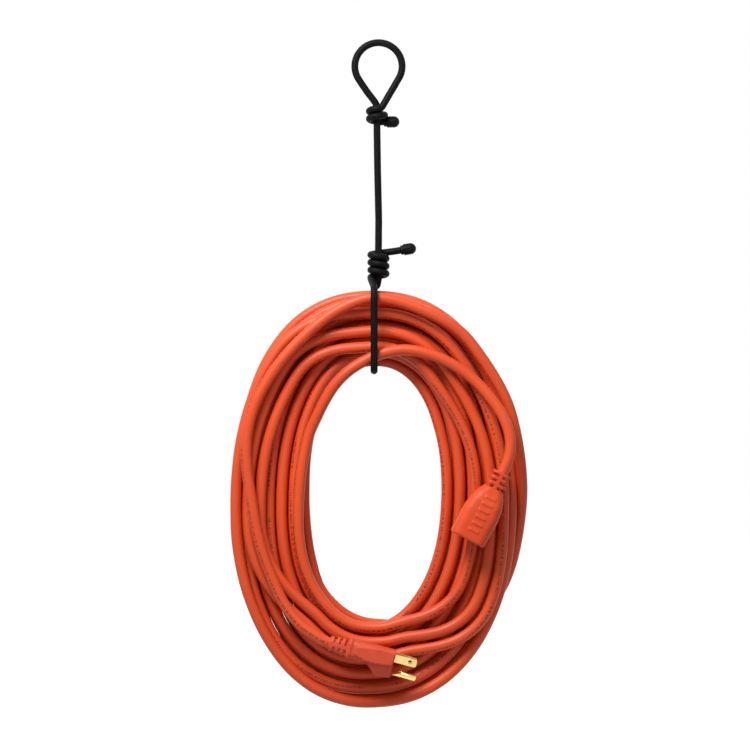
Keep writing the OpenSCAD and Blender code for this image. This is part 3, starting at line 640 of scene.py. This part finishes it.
def steady(points, longest=15, near=2.5):
    """The same points, with one more near each end of every long straight stretch."""
    made = [points[0]]
    for a, b in zip(points[:-1], points[1:]):
        length = np.linalg.norm(b - a)
        if length > longest:
            made += [a + (b - a) * near / length, b - (b - a) * near / length]
        made.append(b)
    return np.array(made)


rib_pitch = 1.5 * MM
rings_per_rib = 4
tie_line = smooth_line(steady(tie_points), rib_pitch / MM / rings_per_rib) * MM
print("tie:", round(float(arc_lengths(tie_line)[-1]) / MM), "mm of sleeve")

# %% [markdown]
# The sleeve has fine ribs that run slantwise round it, so that wraps grip one another. They are in
# the mesh, four rings to a rib, because they show on its edges as well as in its shine.

# %% The tie's sleeve
rib_height = 0.11 * MM
rib_starts = 2
sleeve_sides = 20


def sleeve_radius(along, turn):
    wave = np.cos(2 * np.pi * along / rib_pitch + rib_starts * turn)
    return tie_d * MM / 2 - rib_height * (1 - wave) / 2


sleeve = tube("tie_sleeve", tie_line, sleeve_radius, sleeve_sides)
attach(sleeve, "hanger")
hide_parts("tie_hang_loop", "tie_upper_knot", "tie_shank", "tie_bundle_loop", "tie_lower_knot")
print("sleeve:", len(sleeve.data.polygons), "faces")

# %% [markdown]
# ## End caps
# Each end of the tie is closed by a moulded bullet: a thin neck, a square collar and a round nose.
# A short profile, turned round its own axis, makes it. The plug's ground pin is made so too.

# %% A lathe
def data_of(mesh, name):
    """Turns a bmesh into mesh data, and frees it."""
    data = bpy.data.meshes.new(name)
    mesh.to_mesh(data)
    mesh.free()
    return data


def turned(name, profile, sides=40):
    """Turns (distance along X, radius) pairs in millimetres round the X axis."""
    mesh = bmesh.new()
    angles = [2 * math.pi * k / sides for k in range(sides)]
    rings = []
    for x, r in profile:
        ring = [(x * MM, r * math.cos(t) * MM, r * math.sin(t) * MM) for t in angles]
        rings.append([mesh.verts.new(point) for point in ring])
    for one, two in zip(rings[:-1], rings[1:]):
        for k in range(sides):
            mesh.faces.new((one[k], two[k], two[(k + 1) % sides], one[(k + 1) % sides])).smooth = True
    mesh.faces.new(rings[0])
    mesh.faces.new(rings[-1][::-1])
    bmesh.ops.recalc_face_normals(mesh, faces=mesh.faces)
    return new_object(name, data_of(mesh, name))


def nose(end, radius, round_r, steps=10, last=88):
    """The rounded end of a turned piece, as profile pairs."""
    x, r = end - round_r, radius - round_r
    angles = np.radians(np.linspace(0, last, steps))
    return [(x + round_r * math.sin(t), r + round_r * math.cos(t)) for t in angles]


print("a nose's steps:", len(nose(1, 1, 1)))

# %% [markdown]
# The profile runs from the neck to the tip. Small steps at each corner give it soft edges, and the
# nose is a half ball.

# %% The two caps
cap_d, cap_l = 9.2, 12.6
neck_r, cap_r, soft = cap_d / 2 - 0.8, cap_d / 2, 0.35
cap_profile = [
    (0, neck_r - soft), (0.12, neck_r - 0.12), (soft, neck_r), (2.0, neck_r), (2.25, neck_r + 0.08),
    (2.4, cap_r - 0.42), (2.5, cap_r - 0.18), (2.72, cap_r - 0.04), (3.0, cap_r), (4.2, cap_r),
    *nose(cap_l, cap_r, cap_r, 14),
]


def place_of(middle, degrees):
    """Puts a piece made along X at a point in millimetres, turned about Y."""
    return Matrix.Translation(Vector(middle) * MM) @ Matrix.Rotation(math.radians(degrees), 4, "Y")


def cap(name, node, tip, degrees):
    piece = turned(name, cap_profile)
    piece.data.transform(place_of(tip, -degrees))
    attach(piece, "hanger")
    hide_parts(node)
    return piece


caps = [
    cap("cap_upper", "tie_cap_upper", upper_tip, upper_cap_angle),
    cap("cap_lower", "tie_cap_lower", lower_tip, lower_cap_angle),
]
print("caps:", [c.name for c in caps])

# %% [markdown]
# ## Moulded fittings
# The plug and the connector are vinyl that is moulded over the cord's end, so every edge on them is
# soft. Rather than bevel each edge, I join and cut plain hulls, and then let a voxel remesh and a
# few smoothing steps round the whole skin at once.

# %% Hulls and slices
def corners_in(geometry):
    return [v for v in geometry if isinstance(v, bmesh.types.BMVert)]


def hull(points):
    """The tight skin round some points, in millimetres."""
    mesh = bmesh.new()
    for p in points:
        mesh.verts.new(p)
    made = bmesh.ops.convex_hull(mesh, input=mesh.verts)
    loose = set(corners_in(made["geom_interior"] + made["geom_unused"]))
    bmesh.ops.delete(mesh, geom=list(loose), context="VERTS")
    return data_of(mesh, "hull")


def slice_at(x, centres, r, sides=24):
    """A slice across a fitting: circles of one radius round some (y, z) centres."""
    turn = np.linspace(0, 2 * np.pi, sides, endpoint=False)
    return [(x, y + r * math.cos(t), z + r * math.sin(t)) for y, z in centres for t in turn]


def rounded(x, w_y, w_z, r):
    """A slice that is a rectangle with round corners."""
    half_y, half_z = w_y / 2 - r, w_z / 2 - r
    return slice_at(x, [(sy * half_y, sz * half_z) for sy in (-1, 1) for sz in (-1, 1)], r)


def rod(x0, x1, d, sides=32):
    return hull(slice_at(x0, [(0, 0)], d / 2, sides) + slice_at(x1, [(0, 0)], d / 2, sides))


def block(x0, x1, y0, y1, z0, z1):
    return hull([(x, y, z) for x in (x0, x1) for y in (y0, y1) for z in (z0, z1)])


print("a slice with round corners has", len(rounded(0, 2, 2, 0.5)), "points")

# %% [markdown]
# The first remesh turns the joined hulls into one clean skin to cut. The second gives the cut body
# even faces, which the smoothing rounds alike.

# %% A soft skin
FITTING_GRAIN = 0.36


def baked(piece):
    """The piece's mesh as its modifiers leave it."""
    graph = bpy.context.evaluated_depsgraph_get()
    return bpy.data.meshes.new_from_object(piece.evaluated_get(graph))


def soft_skin(name, solids, cuts, place, steps=5):
    """Joins the solids, takes the cuts away, and gives what is left one soft skin."""
    whole = bmesh.new()
    for solid in solids:
        whole.from_mesh(solid)
    piece = new_object(name, data_of(whole, name))
    tools = bpy.data.collections.new("cuts")
    for cut in cuts:
        tools.objects.link(bpy.data.objects.new("cut", cut))
    join_up = piece.modifiers.new("remesh", "REMESH")
    join_up.mode, join_up.voxel_size = "VOXEL", FITTING_GRAIN
    take = piece.modifiers.new("cut", "BOOLEAN")
    take.operation, take.operand_type, take.collection = "DIFFERENCE", "COLLECTION", tools
    again = piece.modifiers.new("remesh again", "REMESH")
    again.mode, again.voxel_size = "VOXEL", FITTING_GRAIN
    smooth = piece.modifiers.new("soften", "SMOOTH")
    smooth.factor, smooth.iterations = 0.5, steps
    ready = baked(piece)
    piece.modifiers.clear()
    piece.data = ready
    for tool in list(tools.objects):
        bpy.data.objects.remove(tool)
    bpy.data.collections.remove(tools)
    ready.transform(place @ Matrix.Scale(MM, 4))
    ready.shade_smooth()
    return piece


plug_place = place_of(plug_mid, plug_angle)
connector_place = place_of(connector_mid, connector_angle)
print("fittings have a grain of", FITTING_GRAIN, "mm")

# %% [markdown]
# Both fittings end in a strain relief: a short tapered tail with three windows on each side of a
# spine, which lets it bend a little at a time. The windows go down to the cord's jacket.

# %% The strain relief
cord_room = 9.2
neck_corner = 4.5
spine_w = 3
windows = 3
window_w = 2.2
past_skin = 12


def relief(x_neck, length, neck_y, neck_z, end_d):
    """The tapered tail, from the neck to its end."""
    neck = rounded(x_neck, neck_y, neck_z, neck_corner)
    return hull(neck + rounded(x_neck - length, end_d, end_d, neck_corner))


def relief_cuts(x_neck, length, x_first, pitch):
    """Room for the cord, and the windows on both sides of the spine."""
    cuts = [rod(x_neck - length - 5, x_neck + jacket_in_body, cord_room)]
    for i in range(windows):
        x0 = x_first - pitch * i - window_w / 2
        x1 = x_first - pitch * i + window_w / 2
        for low, high in ((spine_w / 2, past_skin), (-past_skin, -spine_w / 2)):
            cuts.append(block(x0, x1, -past_skin, past_skin, low, high))
    return cuts


print("windows:", windows, "a side,", window_w, "mm wide")

# %% [markdown]
# ### The plug
# Seen from its broad side the plug is a raised panel that widens towards the face. Below the panel
# its side slopes away and flares down to the ground pin, so the face is wide at the blades and
# narrower at the pin. Slices give the outline, and hulls between them give the body.

# %% The plug's slices
face_top, face_h, face_d = 7.8, 22.2, 25
face_bottom = face_top - face_h
hip_x, heel_x, hip_half, heel_half = -21.3, -12.5, 9.5, 10.74
collar_w, collar_h = 2.6, 0.7
plug_back = -plug_l + collar_w
plug_neck = (14, 14.8)
panel_top = face_top - 1.2


def plug_slice(x, half_w, top, shoulder, bottom, half_bottom, r=3):
    """Straight sides down to the shoulder, and then a slope to the narrower bottom."""
    centres = ((half_w, top - r), (half_w, shoulder), (half_bottom, bottom + r))
    return slice_at(x, [(s * (y - r), z) for s in (-1, 1) for y, z in centres], r)


def panel(x, low, high, proud=1):
    """Four points of the raised panel, which stands proud of both sides."""
    half = np.interp(x, [plug_back, hip_x, 0], [plug_neck[0] / 2, hip_half, face_d / 2]) + proud
    return [(x, y, z) for y in (-half, half) for z in (low, high)]


face_slice = plug_slice(0, face_d / 2, face_top, -2.4, face_bottom, 6.5)
heel_slice = plug_slice(heel_x, heel_half, face_top, -3.4, face_bottom - 0.6, 6.5)
hip_slice = plug_slice(hip_x, hip_half, 7.7, -2, -7.2, 5)
back_slice = rounded(plug_back, *plug_neck, neck_corner)
panels = [
    (-1, -3.4, panel_top), (-13, -5.2, panel_top), (-22, -5.2, 5.3), (-30.6, -3.4, 3.7),
    (-32, -2.2, 2.5),
]
print("the plug's face is", face_d, "by", face_h, "mm")

# %% [markdown]
# A collar closes the body where the strain relief begins, and four short ribs cross its underside.

# %% The plug's moulding
collar = [n + 2 * collar_h for n in plug_neck]
plug_relief_end = 11.4
plug_window_x, plug_window_pitch = -plug_l - 2.2, plug_relief_l / 3.48
under_ribs, under_x, under_pitch, under_w = 4, -23.6, 2.2, 1.1
under_half, under_low, under_high = 4, -7.8, -4.8
plug_solids = [
    hull(face_slice + heel_slice),
    hull(heel_slice + hip_slice),
    hull(hip_slice + back_slice),
    hull([point for place in panels for point in panel(*place)]),
    hull(rounded(-plug_l, *collar, neck_corner) + rounded(plug_back, *collar, neck_corner)),
    relief(-plug_l, plug_relief_l, *plug_neck, plug_relief_end),
]
for i in range(under_ribs):
    x = under_x - under_pitch * i
    plug_solids.append(block(x, x + under_w, -under_half, under_half, under_low, under_high))
plug_cuts = relief_cuts(-plug_l, plug_relief_l, plug_window_x, plug_window_pitch)
plug = soft_skin("plug_moulding", plug_solids, plug_cuts, plug_place)
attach(plug, "hank")
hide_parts("plug_body")
print("plug:", len(plug.data.polygons), "faces")

# %% [markdown]
# ### The connector
# The connector's body flares from its neck and then runs nearly straight to the face. A row of short
# grip ribs crosses each broad side. The face is a separate insert in the moulding's mouth, so the
# mouth is cut out here and the insert stays as the frame has it.

# %% The connector's slices and ribs
connector_w, connector_d = 29.4, 25
connector_neck = (15, 16.8)
body_corner = 7
insert_l, insert_d, insert_w = 24, 21.6, 21
rib_w, rib_l, rib_h, rib_z = 3.6, 8.6, 0.9, 0.8
grip_ribs, first_rib, grip_pitch = 6, 8, 5.8
body_slices = [
    (0, connector_d - 2, connector_w - 0.6), (-1.6, connector_d, connector_w),
    (-20, connector_d - 0.8, connector_w + 0.8), (-insert_l, connector_d - 1, connector_w + 0.6),
    (-33, connector_d - 2.8, connector_w - 2), (-40, connector_d - 6.4, connector_w - 6.8),
    (-connector_l, *connector_neck),
]


def depth_at(x):
    """How deep the body is, front to back, at a place along it."""
    places = sorted(body_slices)
    return float(np.interp(x, [v[0] for v in places], [v[1] for v in places]))


def grip_rib(x):
    """A rib on both broad sides: it rises towards the face and drops off sharply."""
    high, low = depth_at(x) / 2 + rib_h, depth_at(x - rib_w) / 2 - 0.1
    outline = [(x, -high), (x, high), (x - rib_w, low), (x - rib_w, -low)]
    return hull([(a, b, z) for a, b in outline for z in (rib_z - rib_l / 2, rib_z + rib_l / 2)])


print("the connector's face is", connector_d, "by", connector_w, "mm")

# %% [markdown]
# All slices go into one hull, because the body bulges everywhere. The mouth is a hair wider than the
# insert, so that their faces never lie in one plane.

# %% The connector's moulding
mouth_size = (insert_d + 0.1, insert_w + 0.1, 4)
connector_relief_end = 15
connector_window_x, connector_window_pitch = -connector_l - 1.6, connector_relief_l / 3.05
connector_solids = [
    hull([p for x, w_y, w_z in body_slices for p in rounded(x, w_y, w_z, body_corner)]),
    relief(-connector_l, connector_relief_l, *connector_neck, connector_relief_end),
    *[grip_rib(-first_rib - grip_pitch * i) for i in range(grip_ribs)],
]
connector_cuts = [
    hull(rounded(-insert_l, *mouth_size) + rounded(1, *mouth_size)),
    *relief_cuts(-connector_l, connector_relief_l, connector_window_x, connector_window_pitch),
]
connector = soft_skin("connector_moulding", connector_solids, connector_cuts, connector_place)
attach(connector, "hank")
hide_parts("connector_body")
print("connector:", len(connector.data.polygons), "faces")

# %% [markdown]
# ### Blades and ground pin
# The blades are stamped from brass strip, with a hole near the tip. A small bevel on the stamped
# outline catches the light along its edges, which a sharp edge never does.

# %% Blades
blade_w, blade_t, blade_l = 6.35, 1.5, 17.9
blade_z = face_top - 5.4
blade_back = -8.5
blade_gap = 12.7
blade_edge = 0.18
hole_x, hole_r = 0.7 * blade_l, 1.6
tip_outline = [(blade_back, 0), (blade_l - 1.2, 0), (blade_l - 0.25, 0.75), (blade_l, 1.6)]


def blade(name, node, y):
    mesh = bmesh.new()
    half = blade_w / 2
    corners = [(x, -half + inset) for x, inset in tip_outline]
    corners += [(x, half - inset) for x, inset in reversed(tip_outline)]
    flat = [mesh.verts.new((x, y - blade_t / 2, blade_z + z)) for x, z in corners]
    made = bmesh.ops.extrude_face_region(mesh, geom=[mesh.faces.new(flat)])
    bmesh.ops.translate(mesh, vec=(0, blade_t, 0), verts=corners_in(made["geom"]))
    bmesh.ops.recalc_face_normals(mesh, faces=mesh.faces)
    piece = new_object(name, data_of(mesh, name))
    drill = bpy.data.objects.new("drill", rod(-3, 3, 2 * hole_r))
    across = Matrix.Rotation(math.radians(90), 4, "Z")
    drill.data.transform(Matrix.Translation((hole_x, y, blade_z)) @ across)
    bpy.context.scene.collection.objects.link(drill)
    take = piece.modifiers.new("hole", "BOOLEAN")
    take.operation, take.object = "DIFFERENCE", drill
    edge = piece.modifiers.new("edge", "BEVEL")
    edge.width, edge.segments, edge.limit_method = blade_edge, 3, "ANGLE"
    piece.data = baked(piece)
    piece.modifiers.clear()
    bpy.data.objects.remove(drill)
    piece.data.transform(plug_place @ Matrix.Scale(MM, 4))
    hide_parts(node)
    return piece


blades = [
    blade("blade_line", "plug_blade_line", -blade_gap / 2),
    blade("blade_neutral", "plug_blade_neutral", blade_gap / 2),
]
print("blades:", [b.name for b in blades])

# %% [markdown]
# The pin is turned, with a round nose. It stands below the blades, and is a little thinner behind
# the face, where the moulding grips it.

# %% The ground pin
pin_r, pin_grip_r, pin_l, ground_offset = 2.38, 2.0, 20.6, 11.9
pin_profile = [(blade_back, pin_grip_r), (0, pin_grip_r), (0.1, pin_r), *nose(pin_l, pin_r, 1.6)]
pin = turned("ground_pin", pin_profile)
pin.data.transform(plug_place @ Matrix.Translation((0, 0, (blade_z - ground_offset) * MM)))
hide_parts("plug_ground_pin")
for piece in (*blades, pin):
    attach(piece, "hank")
print("contacts:", [p.name for p in (*blades, pin)])

# %% [markdown]
# ## Finishes
# The moulded vinyl is duller and a little pinker than the cord's jacket, with a fine pebble from
# the mould. Each row of the table is a name, two tones, a roughness and the pebble's depth in metres.

# %% Vinyl finishes
def make_vinyl(name, dark, light, rough, pebble):
    material = new_material(name, light, rough, Specular_IOR_Level=0.22)
    colour_between(material, noise(material, 60, 4), dark, light, 0.3, 0.7)
    grain = noise(material, 2600, 3)
    rough_between(material, noise(material, 350, 3), rough - 0.05, rough + 0.07)
    raised_by(material, grain, pebble, 0.5)
    return material


vinyl = {}
for name, *look in (
    ("moulded", (0.64, 0.072, 0.032), (0.73, 0.092, 0.041), 0.50, 0.00006),
    ("bright", (0.68, 0.070, 0.021), (0.76, 0.084, 0.025), 0.44, 0.00005),
    ("insert", (0.60, 0.070, 0.024), (0.68, 0.080, 0.028), 0.50, 0.00005),
    ("bridge", (0.66, 0.62, 0.52), (0.74, 0.70, 0.60), 0.35, 0.00003),
    ("black", (0.020, 0.020, 0.020), (0.035, 0.035, 0.035), 0.45, 0.00003),
    ("white", (0.68, 0.68, 0.66), (0.80, 0.80, 0.78), 0.45, 0.00003),
    ("green", (0.03, 0.26, 0.07), (0.05, 0.35, 0.10), 0.45, 0.00003),
):
    vinyl[name] = make_vinyl(name + "_vinyl", *look)
plug.data.materials.append(vinyl["moulded"])
connector.data.materials.append(vinyl["bright"])
print("vinyl finishes:", list(vinyl))

# %% [markdown]
# The tie's rubber is matt and nearly black. Its ribs are in the mesh, so the finish only adds a fine
# tooth and a faint change of tone. The caps are smoother, because they come out of a polished mould.

# %% Rubber finishes
def make_rubber(name, dark, light, rough, tooth):
    material = new_material(name, light, rough, Specular_IOR_Level=0.07)
    colour_between(material, noise(material, 220, 4), dark, light, 0.35, 0.7)
    fine = noise(material, 3200, 3)
    rough_between(material, fine, rough - 0.08, rough + 0.08)
    raised_by(material, fine, tooth, 0.5)
    return material


ribbed_rubber = make_rubber(
    "ribbed_rubber", (0.003, 0.003, 0.0032), (0.006, 0.006, 0.0062), 0.50, 0.00005,
)
cap_rubber = make_rubber("cap_rubber", (0.003, 0.003, 0.003), (0.005, 0.005, 0.005), 0.38, 0.00002)
sleeve.data.materials.append(ribbed_rubber)
for piece in caps:
    piece.data.materials.append(cap_rubber)
print("rubber finishes:", ribbed_rubber.name, cap_rubber.name)

# %% [markdown]
# Brass from a press is bright, with faint lines along the strip. Noise that is stretched along one
# axis draws those lines. Copper strands and the steel core are made the same way.

# %% Metal finishes
def make_metal(name, dark, light, rough, stretch):
    """Metal with fine lines along the axis that is stretched."""
    material = new_material(name, light, rough, Metallic=1.0)
    colour_between(material, noise(material, 90, 4), dark, light, 0.25, 0.7)
    lines = noise(material, 1800, 4, stretch=stretch)
    rough_between(material, lines, rough - 0.06, rough + 0.1)
    raised_by(material, lines, 0.00003, 0.35)
    return material


brass = make_metal("bright_brass", (0.70, 0.50, 0.17), (0.86, 0.66, 0.28), 0.24, (0.12, 1, 1))
copper = make_metal("bare_copper", (0.60, 0.28, 0.15), (0.78, 0.40, 0.24), 0.30, (0.1, 1, 1))
core_steel = make_metal("drawn_steel", (0.42, 0.43, 0.45), (0.60, 0.61, 0.63), 0.34, (1, 1, 0.1))
for piece in (*blades, pin):
    piece.data.materials.append(brass)
print("metal finishes:", brass.name, copper.name, core_steel.name)

# %% [markdown]
# ## Giving out the finishes
# Every frame node names its material slot in the record. Nodes that are still shown as they are,
# such as the insert, the contacts and the wires, get the finish of that slot.

# %% Finishes for the frame's own nodes
finish_of = {
    "cord_jacket": jacket, "moulded_pvc": vinyl["moulded"], "insert": vinyl["insert"],
    "bridge": vinyl["bridge"], "wire_black": vinyl["black"], "wire_white": vinyl["white"],
    "wire_green": vinyl["green"], "brass": brass, "copper": copper, "core_steel": core_steel,
    "tie_rubber": ribbed_rubber, "tie_cap": cap_rubber,
}
slot_of = {part["node"]: part["material_slot"] for part in frame["record"]["subparts"]}
for name, node in nodes.items():
    node.data.materials.clear()
    node.data.materials.append(finish_of[slot_of[name]])
print("finishes given to", len(nodes), "nodes")

# %% [markdown]
# ## Saying what the cord is
# The cord runs from the plug's strain relief to the connector.


# %% [markdown]
# ## Floor and light
# The object hangs over a plain floor in a white room. The room's light is weak below and grows
# towards the ceiling, but the camera and reflections see it as plain white.

# %% The room
ROOM_BELOW, ROOM_ABOVE = 0.03, 0.40
LOWEST_RISE = -0.8


def seen_directly(owner):
    """1 for rays from the camera, from mirrors and through glass, and 0 for the rest."""
    path = add(owner, "ShaderNodeLightPath")
    total = path.outputs["Is Camera Ray"]
    for other in ("Is Glossy Ray", "Is Transmission Ray"):
        total = math_of(owner, "MAXIMUM", total, path.outputs[other])
    return total


world = bpy.data.worlds.new("room")
bpy.context.scene.world = world
world.use_nodes = True
heading = add(world, "ShaderNodeTexCoord")
height = add(world, "ShaderNodeSeparateXYZ", Vector=heading.outputs["Generated"])
rise = add(
    world, "ShaderNodeMapRange", {"From Min": LOWEST_RISE, "To Min": ROOM_BELOW, "To Max": ROOM_ABOVE},
    Value=height.outputs["Z"],
)
levels = add(world, "ShaderNodeMapRange", Value=seen_directly(world), To_Min=rise.outputs["Result"])
room = world.node_tree.nodes["Background"]
room.inputs["Color"].default_value = (1, 1, 1, 1)
world.node_tree.links.new(levels.outputs["Result"], room.inputs["Strength"])
print("room light:", ROOM_BELOW, "below and", ROOM_ABOVE, "above")

# %% [markdown]
# The floor is a plain disc. It throws only a little light back up, so the hank's underside stays
# dark, and a glow that only direct rays see keeps the floor as pale as the room.

# %% The floor
FLOOR_Z = -0.8
FLOOR_RADIUS = 6
FLOOR_SHADE = 0.45
FLOOR_GLOW = 0.97

floor_mesh = bmesh.new()
bmesh.ops.create_circle(floor_mesh, cap_ends=True, segments=96, radius=FLOOR_RADIUS)
floor = new_object("floor", data_of(floor_mesh, "floor"))
floor.location.z = FLOOR_Z

floor_paint = bpy.data.materials.new("floor_paint")
floor_paint.use_nodes = True
floor_paint.node_tree.nodes.clear()
matt = add(floor_paint, "ShaderNodeBsdfDiffuse", {"Color": (*[FLOOR_SHADE] * 3, 1)})
dimming = {"operation": "MULTIPLY", 1: FLOOR_GLOW}
share = add(floor_paint, "ShaderNodeMath", dimming, Value=seen_directly(floor_paint))
glow = add(floor_paint, "ShaderNodeEmission", Strength=share.outputs[0])
both = add(floor_paint, "ShaderNodeAddShader")
floor_paint.node_tree.links.new(matt.outputs[0], both.inputs[0])
floor_paint.node_tree.links.new(glow.outputs[0], both.inputs[1])
add(floor_paint, "ShaderNodeOutputMaterial", Surface=both.outputs[0])
floor.data.materials.append(floor_paint)
print("floor at", FLOOR_Z, "m")

# %% [markdown]
# A disc lamp half a metre wide, above and to the left in front, gives soft shadows with a clear
# direction. The fill on the right is larger, further off and much weaker.

# %% Lamps
def lamp(name, place, size, power, aim=(0, -0.02, -0.3)):
    """A disc lamp, in metres and watts."""
    data = bpy.data.lights.new(name, "AREA")
    data.shape, data.size, data.energy = "DISK", size, power
    obj = bpy.data.objects.new(name, data)
    obj.location = place
    obj.rotation_euler = (Vector(aim) - Vector(place)).to_track_quat("-Z", "Y").to_euler()
    bpy.context.scene.collection.objects.link(obj)


lamp("key", (-0.32, -0.60, 0.46), 0.5, 13.4)
lamp("fill", (1.6, -1.6, 0.3), 1.4, 2.2)
bpy.context.scene.view_settings.view_transform = "Standard"
